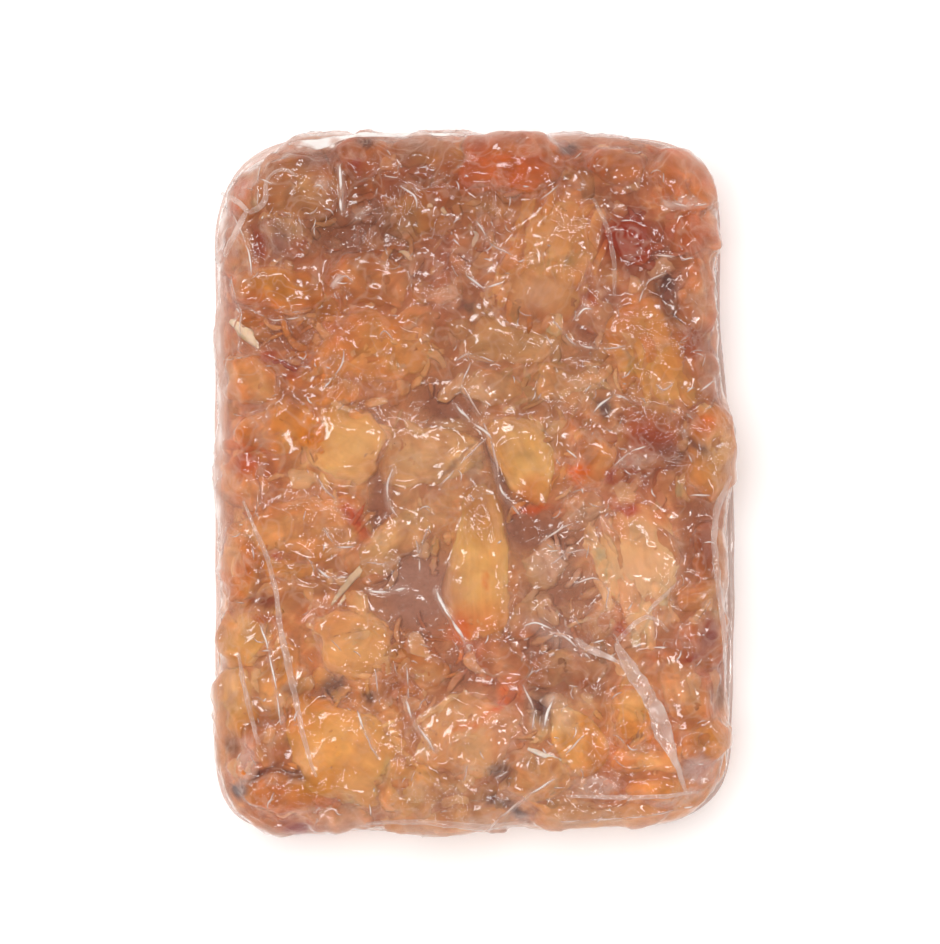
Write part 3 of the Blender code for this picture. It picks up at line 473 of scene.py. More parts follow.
# Folds of spare film: points along each with its half width there, and its milkiness
FOLDS = (
    (((22.0, -33.8, 0.3), (24.0, -35.6, 0.9), (26.8, -36.8, 0.7), (30.0, -38.0, 0.5),
      (32.4, -39.6, 0.3)), 0.95),
    (((31.0, -34.6, 0.5), (32.6, -38.0, 1.2), (34.4, -40.6, 1.7), (37.0, -44.8, 1.6), (40.0, -49.3, 1.7),
      (40.9, -52.8, 2.3), (41.6, -55.3, 2.1), (43.0, -58.3, 1.1), (44.5, -61.8, 0.6), (45.6, -65.3, 0.6),
      (46.6, -68.0, 0.3)), 0.66),
    (((31.0, -34.6, 0.5), (33.0, -32.6, 0.6), (34.8, -30.6, 0.5), (37.4, -28.6, 0.5), (40.3, -29.6, 0.4),
      (42.6, -32.4, 0.3)), 0.5),
    (((37.4, -28.8, 0.3), (39.6, -26.0, 0.5), (42.4, -23.6, 0.4), (45.4, -20.6, 0.3)), 0.4),
    (((-51.0, -3.5, 0.3), (-48.6, -9.0, 0.4), (-45.6, -16.0, 0.5), (-43.6, -24.0, 0.5), (-43.0, -31.0, 0.6),
      (-41.6, -37.0, 0.8), (-39.6, -46.0, 0.7), (-38.0, -54.0, 0.5), (-36.0, -61.0, 0.4),
      (-34.6, -64.6, 0.3)), 0.42),
    (((-52.0, -37.0, 0.3), (-51.0, -43.0, 0.5), (-49.4, -50.0, 0.5), (-47.6, -57.0, 0.4)), 0.4),
    (((-56.2, 64.6, 0.3), (-53.4, 63.4, 0.6), (-51.0, 61.2, 0.6), (-49.6, 59.8, 0.4)), 0.95),
    (((-50.2, 60.4, 0.5), (-51.8, 57.6, 0.7), (-53.6, 54.2, 0.8), (-55.4, 49.8, 0.5)), 0.6),
    (((-49.8, 59.8, 0.4), (-46.8, 61.2, 0.7), (-45.5, 63.6, 0.6), (-46.4, 66.0, 0.4), (-45.0, 68.6, 0.4),
      (-41.6, 69.8, 0.4), (-38.9, 67.5, 0.3)), 0.42),
    (((56.4, 2.0, 0.4), (53.4, -4.6, 0.8), (52.6, -12.0, 0.7), (53.6, -22.0, 0.7), (55.0, -33.0, 0.6),
      (55.4, -42.0, 0.3)), 0.5),
    (((20.0, -68.4, 0.3), (30.0, -68.8, 0.5), (42.0, -68.4, 0.5), (50.0, -67.6, 0.3)), 0.5),
    (((-24.0, -74.6, 0.3), (-12.0, -74.0, 0.6), (2.0, -75.6, 0.8), (12.0, -74.4, 0.5)), 0.45),
    (((26.0, 63.0, 0.3), (29.4, 56.0, 0.5), (30.8, 48.0, 0.5), (30.6, 41.0, 0.3)), 0.3),
    (((-41.2, 75.4, 0.3), (-38.2, 75.6, 0.6), (-36.0, 75.4, 1.0), (-34.3, 75.1, 1.5), (-32.4, 75.9, 1.0),
      (-30.0, 76.6, 0.6), (-27.0, 77.2, 0.5), (-22.0, 77.4, 0.5), (-12.0, 77.5, 0.4),
      (-2.0, 77.3, 0.3)), 1.5),
)
# Small bare lights that give the film its sharp glints: azimuth, height, size and power
GLINTS = {
    "left_strip": (150, 56, (0.30, 0.11), 1.4),
    "right_strip": (38, 60, (0.22, 0.11), 1.15),
    "near_strip": (262, 58, (0.26, 0.10), 1.15),
    "far_strip": (95, 64, (0.22, 0.10), 1.0),
    "side_strip": (345, 48, (0.20, 0.10), 1.1),
}

# ---------------------------------------------------------------- colours


def hex_rgb(code):
    """The linear colour of an sRGB hex value."""
    values = [int(code[i:i + 2], 16) / 255 for i in (1, 3, 5)]
    return np.array([v / 12.92 if v <= 0.04045 else ((v + 0.055) / 1.055) ** 2.4 for v in values])


def hex_rgba(code):
    """The same with full alpha, as a shader's socket takes it."""
    return (*hex_rgb(code), 1.0)


PIECE_TONES = [[hex_rgb(code) for code in row[6:]] for row in PIECES]


def mixed(first, second, share):
    """Each point's colour between two colours."""
    share = np.clip(share, 0, 1)[:, None]
    return first * (1 - share) + second * share

# ---------------------------------------------------------------- lines, ovals and noise


def walked_lengths(line):
    """How far along a line each of its points lies, seen from above."""
    steps = np.linalg.norm(np.diff(line[:, :2], axis=0), axis=1)
    return np.concatenate([[0], np.cumsum(steps)])


def points_along(line, places):
    """The points at these distances along a line, with any width that they carry."""
    walked = walked_lengths(line)
    return np.column_stack([np.interp(places, walked, column) for column in line.T])


def eased(rows, passes):
    """Evens out a run of points, whose two ends stay where they are."""
    for _ in range(passes):
        rows[1:-1] = (rows[:-2] + rows[1:-1] * 2 + rows[2:]) / 4
    return rows


def sideways(path):
    """The level direction square to a path, at each of its points."""
    along = np.gradient(path[:, :2], axis=0)
    along /= np.linalg.norm(along, axis=1)[:, None]
    return np.column_stack([-along[:, 1], along[:, 0]])


def distance_to_line(places, line):
    """How far each point lies from a line of points, seen from above."""
    best = np.full(len(places), 1e9)
    for (ax, ay), (bx, by) in zip(line, line[1:]):
        way = np.array((bx - ax, by - ay))
        offset = places[:, :2] - (ax, ay)
        share = np.clip(offset @ way / (way @ way), 0, 1)
        best = np.minimum(best, np.linalg.norm(offset - share[:, None] * way, axis=1))
    return best


def along_and_across(places, x, y, turn):
    """How far places lie from an oval's middle, along it and across it."""
    angle = np.radians(turn)
    right, up = places[..., 0] - x, places[..., 1] - y
    return right * np.cos(angle) + up * np.sin(angle), up * np.cos(angle) - right * np.sin(angle)


def oval_size(places, x, y, half_length, half_width, turn=0.0):
    """How far out places lie in an oval seen from above: 0 at its middle and 1 at its rim."""
    along, across = along_and_across(places, x, y, turn)
    return np.hypot(along / half_length, across / half_width)


def noise_at(points, spacing, seed=0.0):
    """Smooth noise from -1 to 1 at each point, with bumps about this far apart."""
    shift = Vector((seed * 17.3, seed * 5.1, seed * 9.7))
    scaled = np.asarray(points) / spacing
    return np.array([noise.noise(Vector(p) + shift) for p in scaled])


def stretched_noise(points, spacings, seed=0.0):
    """The same with a spacing of its own along each axis."""
    return noise_at(np.asarray(points) / np.asarray(spacings), 1.0, seed)


def patches(points, broad, fine, seed, share=0.4):
    """Uneven patches: broad noise with this share of finer noise on it."""
    return noise_at(points, broad, seed) + share * noise_at(points, fine, seed + 1)


def wander(points, spacing, seed):
    """A sideways shift for each point, so that no patch keeps the rim of a plain oval."""
    return np.column_stack([noise_at(points, spacing, seed), noise_at(points, spacing, seed + 1)])

# ---------------------------------------------------------------- the slab's outline and crown


def rounded_outline(corners, step, arc_points=13):
    """Points round a polygon whose corners are parabolic arcs, evenly spaced, and their normals."""
    path = []
    for i, (x, y, reach) in enumerate(corners):
        corner = Vector((x, y))
        before = Vector(corners[i - 1][:2])
        after = Vector(corners[(i + 1) % len(corners)][:2])
        start = corner + (before - corner).normalized() * reach
        end = corner + (after - corner).normalized() * reach
        for k in range(arc_points):
            t = k / (arc_points - 1)
            path.append(start * (1 - t) ** 2 + corner * 2 * t * (1 - t) + end * t ** 2)
    path = np.array(path + path[:1])
    total = walked_lengths(path)[-1]
    count = round(total / step)
    points = points_along(path, np.arange(count) * total / count)
    along = np.roll(points, -1, axis=0) - np.roll(points, 1, axis=0)
    normals = np.column_stack([along[:, 1], -along[:, 0]])
    return points, normals / np.linalg.norm(normals, axis=1)[:, None]


SLAB, SLAB_OUT = rounded_outline(SLAB_CORNERS, OUTLINE_STEP)
HEM, HEM_OUT = rounded_outline(HEM_CORNERS, OUTLINE_STEP)


def nearest_wall(places):
    """For each point seen from above: how far inside the outline it lies, and the wall's normal."""
    depth = np.empty(len(places))
    normal = np.empty((len(places), 2))
    batch = 20000  # as many at a time, to spare memory
    for first in range(0, len(places), batch):
        part = places[first:first + batch, :2]
        gaps = ((part[:, None, :] - SLAB[None, :, :]) ** 2).sum(axis=2)
        near = gaps.argmin(axis=1)
        normal[first:first + batch] = SLAB_OUT[near]
        depth[first:first + batch] = ((SLAB[near] - part) * SLAB_OUT[near]).sum(axis=1)
    return depth, normal


def wall_depth(x, y):
    """How far inside the outline one place lies."""
    return nearest_wall(np.array([(x, y)]))[0][0]


def crown(places):
    """Height of the frozen juice: level in the middle, falling towards the wall."""
    depth = np.maximum(0.0, nearest_wall(places)[0])
    return TOP - SHOULDER_DROP * np.maximum(0.0, 1 - depth / SHOULDER) ** 2


def crown_at(x, y, reach=1.5):
    """Height of the juice at a point, and the direction that its surface faces."""
    around = np.array([(x, y), (x + reach, y), (x - reach, y), (x, y + reach), (x, y - reach)])
    here, right, left, far, near = crown(around)
    return here, Vector(((left - right) / (2 * reach), (near - far) / (2 * reach), 1)).normalized()


def is_covered(x, y, reach):
    """Whether a large piece in the top face lies within reach of this point."""
    middle_x, middle_y, length, width, turn = PIECE_OVALS.T
    size = oval_size(np.array((x, y)), middle_x, middle_y, length / 2 + reach, width / 2 + reach, turn)
    return bool((size < 1).any())


def fineness(x, y):
    """From 0 where the juice is clear to 1 where the meat is picked fine."""
    for cx, cy, reach in CLEAR_JUICE:
        if math.hypot(x - cx, y - cy) < reach:
            return 0.03
    for cx, cy, half_width, half_height in PICKED_FINE:
        if math.hypot((x - cx) / half_width, (y - cy) / half_height) < 1:
            return 1.0
    return 0.5

# ---------------------------------------------------------------- meshes


def select_only(*objects):
    """Deselects everything else, and makes the last of these objects the active one."""
    for other in bpy.context.view_layer.objects:
        other.select_set(False)
    for obj in objects:
        obj.select_set(True)
        bpy.context.view_layer.objects.active = obj


def points_of(obj):
    """The mesh's points in millimetres."""
    found = np.empty(len(obj.data.vertices) * 3)
    obj.data.vertices.foreach_get("co", found)
    return found.reshape(-1, 3) / MM


def set_points(obj, points):
    """Moves the mesh's points to these places in millimetres."""
    obj.data.vertices.foreach_set("co", (np.asarray(points) * MM).ravel())
    obj.data.update()


def normals_of(obj):
    """The mesh's point normals."""
    found = np.empty(len(obj.data.vertices) * 3)
    obj.data.vertex_normals.foreach_get("vector", found)
    return found.reshape(-1, 3)


def give_attribute(obj, name, kind, values):
    """Stores one value for each point of the mesh, for its material to read."""
    layer = obj.data.attributes.get(name) or obj.data.attributes.new(name, kind, "POINT")
    field = {"FLOAT": "value", "FLOAT_COLOR": "color", "FLOAT_VECTOR": "vector"}[kind]
    layer.data.foreach_set(field, np.ascontiguousarray(values, dtype=np.float32).ravel())


def give_level(obj, name, value):
    """Stores the same number for every point of the mesh."""
    give_attribute(obj, name, "FLOAT", np.full(len(obj.data.vertices), value))


def give_tint(obj, colours):
    """Stores each point's linear colour."""
    give_attribute(obj, "tint", "FLOAT_COLOR", np.column_stack([colours, np.ones(len(colours))]))


def new_mesh_object(name, points, faces):
    """An object from points in millimetres and faces."""
    mesh = bpy.data.meshes.new(name)
    mesh.from_pydata([tuple(p) for p in np.asarray(points) * MM], [], faces)
    mesh.update()
    obj = bpy.data.objects.new(name, mesh)
    bpy.context.scene.collection.objects.link(obj)
    return obj


def apply_modifiers(obj):
    """Applies the object's modifiers in turn."""
    select_only(obj)
    for modifier in list(obj.modifiers):
        bpy.ops.object.modifier_apply(modifier=modifier.name)


def copy_of(obj, name):
    """A copy of an object with a mesh of its own."""
    made = obj.copy()
    made.data = obj.data.copy()
    made.name = name
    bpy.context.scene.collection.objects.link(made)
    return made


def joined(name, objects):
    """Joins the objects into the last one."""
    select_only(*objects)
    bpy.ops.object.join()
    made = bpy.context.object
    made.name = name
    made.data.name = name
    return made


def finish_surface(obj, material):
    """Gives the object smooth shading and its one material."""
    select_only(obj)
    bpy.ops.object.shade_smooth()
    obj.data.materials.clear()
    obj.data.materials.append(material)


def remesh(obj, grain):
    """Rebuilds a closed mesh from cubes of this many millimetres."""
    modifier = obj.modifiers.new("remesh", "REMESH")
    modifier.mode = "VOXEL"
    modifier.voxel_size = grain * MM
    apply_modifiers(obj)


def tree_of(obj):
    """A search tree of the object's surface."""
    return BVHTree.FromObject(obj, bpy.context.evaluated_depsgraph_get())


def height_under(tree, x, y):
    """Height of a surface over a point of the top face."""
    hit = tree.ray_cast(Vector((x * MM, y * MM, 0.05)), Vector((0, 0, -1)))
    return hit[0].z / MM if hit[0] is not None else FOLD_FLOOR


def ball(kind):
    """A unit ball with its poles on X, so that its rows of faces run as the meat's fibres do."""
    around, along = BALL_FACES[kind]
    select_only()
    bpy.ops.mesh.primitive_uv_sphere_add(segments=around, ring_count=along, radius=1.0,
                                         rotation=(0, math.pi / 2, 0))
    made = bpy.context.object
    made.name = f"{kind}_stock"
    bpy.ops.object.transform_apply(location=True, rotation=True, scale=True)
    return made


def ring_stack(name, rings):
    """A closed body whose sides join the rings in turn, lowest first, with a fan across each end."""
    count = len(rings[0])
    points = [p for ring in rings for p in ring]
    faces = []
    for level in range(len(rings) - 1):
        for i in range(count):
            j = (i + 1) % count
            low, high = level * count, (level + 1) * count
            faces.append((low + i, low + j, high + j, high + i))
    faces.append(tuple(reversed(range(count))))
    faces.append(tuple(range((len(rings) - 1) * count, len(rings) * count)))
    return new_mesh_object(name, points, faces)


def slab_body(name, inset, sink):
    """The slab of frozen juice without its pieces, set in and sunk from the film by this much."""
    rings = []
    for z, out in WALL_SECTION:
        ring = SLAB + SLAB_OUT * (out - inset)
        rings.append(np.column_stack([ring, np.full(len(ring), max(z, inset * 0.5))]))
    for depth in SHOULDER_RINGS:
        ring = SLAB - SLAB_OUT * (depth + inset)
        height = TOP - SHOULDER_DROP * max(0.0, 1 - depth / SHOULDER) ** 2
        rings.append(np.column_stack([ring, np.full(len(ring), height - sink)]))
    return ring_stack(name, rings)

# ---------------------------------------------------------------- the tint of the meat


def hollow_share(points):
    """From 0 over meat to 1 over the hollows that only juice fills."""
    share = np.zeros(len(points))
    places = points[:, :2] + wander(points, 4.0, 71) * 1.6
    for *oval, strength in HOLLOWS:
        share = np.maximum(share, strength * np.clip(1.7 - oval_size(places, *oval), 0, 1))
    return share


def fine_share(points):
    """From 0 over whole pieces to 1 where the meat is picked fine."""
    share = np.zeros(len(points))
    for oval in PICKED_FINE:
        share = np.maximum(share, np.clip(1.6 - oval_size(points, *oval), 0, 1))
    return share


def mottled(points, colours, strength=1.0):
    """Patches of cream, orange and red brown that run across the pieces."""
    colours = colours * (1 + 0.20 * strength * patches(points, 4.2, 1.9, 81))[:, None]
    cream = np.clip(patches(points, 6.0, 2.4, 83) - 0.05, 0, 1)
    colours = mixed(colours, hex_rgb("#E6B57E"), cream * 0.55 * strength)
    warm = np.clip(patches(points, 6.8, 2.6, 85) - 0.05, 0, 1)
    colours = mixed(colours, colours * (1.04, 0.74, 0.50), warm * 0.9 * strength)
    brown = np.clip(patches(points, 5.0, 2.2, 87, 0.5) - 0.25, 0, 1)
    return mixed(colours, hex_rgb("#96502E"), brown * 0.7 * strength)


def washed(points, colours):
    """Darkens the meat where more brown juice has soaked in, and keeps yellow from turning olive."""
    colours = colours * (1.08, 0.975, 0.89)
    green, most_green = colours[:, 1], colours[:, 0] * 0.50
    colours[:, 1] = np.where(green > most_green, most_green + (green - most_green) * 0.4, green)
    for *oval, left in WASHES:
        colours = mixed(colours, colours * left, np.clip(1.5 - oval_size(points, *oval), 0, 1))
    return colours


def stained(points, colours, reach=16.0):
    """Tints the points near the top face with the meat's stains."""
    colours = washed(points, colours)
    high = np.clip((points[:, 2] - reach) / 4, 0, 1)
    places = points[:, :2] + wander(points, 2.2, 3) * 1.1
    for x, y, half_length, half_width, turn, code, strength in STAINS:
        near = (np.abs(places - (x, y)) < 3 * max(half_length, half_width)).all(axis=1)
        if near.any():
            size = oval_size(places[near], x, y, half_length, half_width, turn)
            share = strength * np.clip(1.6 - size, 0, 1) ** 1.3 * high[near]
            colours[near] = mixed(colours[near], hex_rgb(code), share)
    return colours


def tone_field(points, spread=5.0):
    """The colour of the meat round each point: that of the pieces near it, blended."""
    total = np.zeros((len(points), 3))
    weight = np.full(len(points), 1e-9)
    for (x, y, length, width, turn), (middle, root, end) in zip(PIECE_OVALS, PIECE_TONES):
        along, across = along_and_across(points, x, y, turn)
        along, across = along / (length / 2), across / (width / 2)
        beyond = np.maximum(0.0, np.hypot(along, across) - 0.7) * width / 2
        share = np.exp(-(beyond / spread) ** 2)
        along = np.clip(along, -1, 1)[:, None]
        tone = middle * (1 - np.abs(along)) + np.where(along < 0, root, end) * np.abs(along)
        total += tone * share[:, None]
        weight += share
    return total / weight[:, None]


def give_stained(obj, points, colours):
    """Stains the meat's colours and stores them."""
    give_tint(obj, stained(points, np.clip(colours, 0, 1)))


def give_grain(obj, places):
    """Stores where each point lies in its own piece, for the fibres."""
    give_attribute(obj, "grain", "FLOAT_VECTOR", places)


def evenly(points, share):
    """The same share for every point."""
    return np.full(len(points), share)

# ---------------------------------------------------------------- the large pieces


def pressed_form(kind, points):
    """Moves the points of a unit ball, with its long axis on X, to the piece's blunt form."""
    plan, side = BLUNTNESS[kind]
    level = np.hypot(points[:, 0], points[:, 1])
    rim = (level ** side + np.abs(points[:, 2]) ** side) ** (1 / side)
    formed = points / rim[:, None]
    level = np.hypot(formed[:, 0], formed[:, 1])
    squared = (np.abs(formed[:, 0]) ** plan + np.abs(formed[:, 1]) ** plan) ** (1 / plan)
    formed[:, :2] *= np.where(level > 1e-6, level / np.maximum(squared, 1e-6), 1.0)[:, None]
    if kind == "claw":
        taper = 1 - CLAW_TAPER * np.maximum(0.0, (formed[:, 0] + 1) / 2) ** 1.4
        formed[:, 1] *= taper
        formed[:, 2] *= 1 - CLAW_THINNING + CLAW_THINNING * taper
    return formed


def torn(points, amount):
    """Shifts points sideways unevenly, so that no piece keeps a smooth outline."""
    shift = np.column_stack([noise_at(points, 6.5, 61) + 0.5 * noise_at(points, 2.6, 63),
                             noise_at(points, 6.5, 62) + 0.5 * noise_at(points, 2.6, 64),
                             0.25 * noise_at(points, 3.2, 65)])
    return points + shift * amount


def pressed_back(points):
    """A piece that would break through the wall is flattened there, as the mould flattened it."""
    depth, normal = nearest_wall(points)
    proud = np.maximum(0.0, -depth - 0.6 + FILM_GAP)
    points[:, :2] -= normal * (proud * 0.95)[:, None]
    return points


def piece_form(stock, kind, size, number):
    """A piece's form about its own middle with bumps and fibres, and the noise of its fibres and splits."""
    length, width, thickness = size
    local = pressed_form(kind, points_of(stock) * MM) * np.array(size) / 2
    bump = noise_at(local, BUMP_SPACING * length, number * 1.7 + len(kind))
    local *= (1 + bump * UNEVENNESS * 2)[:, None]
    outward = local / np.linalg.norm(local * (1 / length, 1 / width, 1 / thickness), axis=1)[:, None]
    outward /= np.linalg.norm(outward, axis=1)[:, None]
    fibre = stretched_noise(local, (9.0, 1.3, 1.3), number)
    fine = stretched_noise(local, (4.0, 0.7, 0.7), number + 0.5)
    lumpy = noise_at(local, 3.4, number + 0.3)
    split = np.abs(stretched_noise(local, (16.0, 4.2, 4.2), number + 0.8))
    split_depth = 0.15 if kind == "claw" else 0.08
    relief = fibre * 0.10 + fine * 0.05 + lumpy * 0.34 - split_depth * np.clip(1 - split / 0.07, 0, 1)
    return local + outward * relief[:, None], fibre, fine, split


def piece_tint(kind, points, local, size, colours, fibres, number):
    """A piece's colours: from its root end to its other end, paler in the middle and darker at its rim as
    painted light and shade, with patches and splits.
    """
    length, width, _ = size
    middle, root, end = (hex_rgb(code) for code in colours)
    fibre, fine, split = fibres
    along = local[:, 0] / length * 2 + noise_at(local, 5.0, number + 0.1) * 0.5
    tint = mixed(middle * np.ones((len(local), 1)), root, np.clip((-along - 0.25) * 1.6, 0, 1))
    tint = mixed(tint, end, np.clip((along - 0.25) * 1.6, 0, 1))
    rim = np.clip(np.hypot(local[:, 0] / length, local[:, 1] / width) * 2, 0, 1.2) ** 2
    if kind in ("lump", "leg"):
        tint = mixed(tint, tone_field(points), 0.25 + 0.45 * np.clip(rim, 0, 1))
    if kind in ("lump", "leg", "claw"):
        tint = mottled(points, tint, float(np.clip(1.9 - middle[1] * 4.2, 0.3, 0.9)))
    # painted light and shade: paler and cooler in the middle of each piece, darker and browner towards its
    # rim
    tint = tint * (np.array((1.05, 1.13, 1.20)) - np.array((0.10, 0.26, 0.42)) * rim[:, None])
    tint = tint * (1 + 0.12 * noise_at(local, 4.6, number + 0.6) + 0.06 * fibre + 0.05 * fine)[:, None]
    tint = mixed(tint, tint * (1.05, 0.88, 0.74), np.clip(noise_at(local, 7.0, number + 0.9), 0, 1) * 0.7)
    tint = mixed(tint, tint * 0.6 + hex_rgb("#EBC48E") * 0.4,
                 np.clip(noise_at(local, 6.5, number + 1.4) - 0.05, 0, 1) * 0.9)
    return mixed(tint, tint * (0.80, 0.64, 0.58), np.clip(1 - split / 0.08, 0, 1) * 0.2)


def meat_piece(stock, kind, size, turn, place, up, colours, number):
    """A copy of the kind's stock form, brought to one piece's size, form, place and colour."""
    piece = copy_of(stock, f"{kind}_{number}")
    local, *fibres = piece_form(stock, kind, size, number)
    lean = np.array(Vector((0, 0, 1)).rotation_difference(up).to_matrix()
                    @ Matrix.Rotation(math.radians(turn), 3, "Z"))
    points = local @ lean.T + np.array(place)
    if kind in TEARING:
        points = pressed_back(torn(points, TEARING[kind]))
    set_points(piece, points)
    give_stained(piece, points, piece_tint(kind, points, local, size, colours, fibres, number))
    give_grain(piece, local + np.array((number * 31.0, 0, len(kind) * 13.0)))
    # the pale pieces are whole and clean, and the dark ones are broken and mottled
    give_level(piece, "mottle", np.clip(3.0 - hex_rgb(colours[0])[1] * 7.5, 0.25, 1.0))
    return piece


def top_meat(kind, rows):
    """The pieces of one kind that show in the top face, joined."""
    stock = ball(kind)
    made = []
    for n, (x, y, length, width, turn, height, *colours) in enumerate(rows):
        thickness = max(LEAST_THICKNESS, height * THICKNESS_SHARE)
        level, up = crown_at(x, y)
        place = (x, y, level + height - FILM_GAP - thickness / 2)
        size = (length - FILM_GAP, width - FILM_GAP, thickness)
        made.append(meat_piece(stock, kind, size, turn, place, up, colours, n))
    bpy.data.objects.remove(stock)
    return joined(f"{kind}_meat", made)


def wall_piece(stock, n, travel, palette_row, size, out, z, slope):
    """A piece that presses against the wall, bent to follow it."""
    piece = meat_piece(stock, "wall", size, 0.0, (0, 0, 0), Vector((0, 0, 1)), palette_row, 200 + n)
    local = points_of(piece)
    share = (travel + local[:, 0]) / OUTLINE_STEP
    first = np.floor(share).astype(int)
    part = (share - first)[:, None]
    first %= len(SLAB)
    second = (first + 1) % len(SLAB)
    place = SLAB[first] * (1 - part) + SLAB[second] * part
    facing = SLAB_OUT[first] * (1 - part) + SLAB_OUT[second] * part
    place = place + facing * (out - local[:, 1])[:, None]
    points = np.column_stack([place, z + local[:, 2] + local[:, 0] * slope])
    set_points(piece, points)
    give_tint(piece, stained(points, mottled(points, tone_field(points, 8.0), 0.9), 6.0))
    return piece


def wall_pieces():
    """The pieces round the wall, low and high by turns."""
    stock = ball("wall")
    made = []
    round_trip = len(SLAB) * OUTLINE_STEP
    spacing = 15.0
    count = 2 * round(round_trip / spacing / 2)
    for n in range(count):
        size = (draw.uniform(20.0, 28.0), 6.4, draw.uniform(10.5, 13.5))
        travel = n * round_trip / count + draw.uniform(-2, 2)
        out = draw.uniform(-0.2, 0.6) - size[1] / 2 - FILM_GAP
        z = (7.6, 16.4)[n % 2] + draw.uniform(-1.0, 1.0)
        slope = draw.uniform(-0.2, 0.2)
        colours = PALETTE[draw.randrange(len(PALETTE))]
        made.append(wall_piece(stock, n, travel, colours, size, out, z, slope))
    bpy.data.objects.remove(stock)
    return joined("wall_meat", made)


def foot_pieces():
    """The pieces under the slab, flattened just over the table."""
    stock = ball("foot")
    flat = FILM_GAP + 0.25
    made = []
    for row in range(-4, 5):
        for column in range(-2, 3):
            x = column * 24.0 + (row % 2) * 8.0 + draw.uniform(-2.5, 2.5)
            y = row * 22.0 + draw.uniform(-2.5, 2.5)
            length = draw.uniform(19.0, 24.0)
            size = (length, length * draw.uniform(0.6, 0.85), 16.4)
            turn = draw.uniform(0, 180)
            colours = PALETTE[draw.randrange(len(PALETTE))]
            if wall_depth(x, y) < length / 2:
                continue
            piece = meat_piece(stock, "foot", size, turn, (x, y, 6.2 + FILM_GAP), Vector((0, 0, 1)),
                               colours, 300 + len(made))
            points = points_of(piece)
            points[:, 2] = np.where(points[:, 2] < flat, flat + (points[:, 2] - flat) * 0.06, points[:, 2])
            set_points(piece, points)
            made.append(piece)
    bpy.data.objects.remove(stock)
    return joined("foot_meat", made)

# ---------------------------------------------------------------- bundles, flakes and the core


def loose_bundle(stock, kind, row, n):
    """A bundle of fibres that has come loose, lying along its lump."""
    x, y, length, width, turn, height, middle, *_ = row
    reach, way = math.sqrt(draw.random()) * 0.92, draw.uniform(0, 2 * math.pi)
    ahead, aside = reach * math.cos(way) * length / 2, reach * math.sin(way) * width / 2
    long_way = min(13.0, length * draw.uniform(0.30, 0.62))
    size = np.array((long_way, draw.uniform(2.0, 5.0), draw.uniform(1.5, 2.6)))
    swing = math.radians(turn + draw.gauss(0, 9 if kind == "claw" else 26))
    local = pressed_form("leg", points_of(stock) * MM) * size / 2
    bend = draw.uniform(-0.035, 0.035)
    local[:, 1] += bend * local[:, 0] ** 2
    local[:, 2] -= 0.02 * local[:, 0] ** 2
    local *= (1 + noise_at(local, size[1] * 0.9, n * 0.31) * 0.5)[:, None]
    local += stretched_noise(local, (6.0, 0.9, 0.9), n * 0.17)[:, None] * (0, 0.12, 0.28)
    cosine, sine = math.cos(math.radians(turn)), math.sin(math.radians(turn))
    middle_x, middle_y = x + cosine * ahead - sine * aside, y + sine * ahead + cosine * aside
    sunk = (0.6, 1.3) if kind == "claw" else (0.5, 1.9)
    dome = height * (1 - 0.75 * reach ** 2.4) - draw.uniform(*sunk)
    flat = local @ np.array(Matrix.Rotation(swing, 3, "Z")).T
    ground, up = crown_at(middle_x, middle_y)
    tip = Vector((0, 0, 1)).rotation_difference(up).to_matrix()
    place = (middle_x, middle_y, ground + dome - FILM_GAP - size[2] / 2 + 0.9)
    points = pressed_back(torn(flat @ np.array(tip).T + place, 1.4))
    bundle = copy_of(stock, f"bundle_{n}")
    set_points(bundle, points)
    tint = tone_field(points, 3.5) * draw.uniform(0.86, 1.12)
    if kind == "claw":
        tint = mixed(tint, hex_rgb(middle) * draw.uniform(0.9, 1.08), evenly(points, 0.7))
    if draw.random() < 0.28:
        tint = mixed(tint, hex_rgb("#E6BE8E"), evenly(points, draw.uniform(0.2, 0.5)))
    elif draw.random() < 0.24:
        tint = mixed(tint, hex_rgb("#A8401C"), evenly(points, draw.uniform(0.15, 0.45)))
    tint = tint * (1 + 0.08 * stretched_noise(local, (5.0, 0.8, 0.8), n * 0.7))[:, None]
    give_stained(bundle, points, mottled(points, tint, 0.4 if kind == "claw" else 1.0))
    give_grain(bundle, local + np.array((n * 11.0, 0, 5.0)))
    return bundle


def torn_bundles():
    """The bundles of fibres on the pieces: on a lump, one for each 26 square millimetres."""
    stock = ball("bundle")
    made = []
    for kind, rows, crowd in (("lump", LUMPS, 1.0), ("leg", LEGS, 0.3), ("claw", TORN_CLAWS, 0.7)):
        for row in rows:
            length, width, height = row[2], row[3], row[5]
            if height >= FLAT:
                for _ in range(round(crowd * length * width / 26)):
                    made.append(loose_bundle(stock, kind, row, len(made)))
    bpy.data.objects.remove(stock)
    return joined("torn_bundles", made)


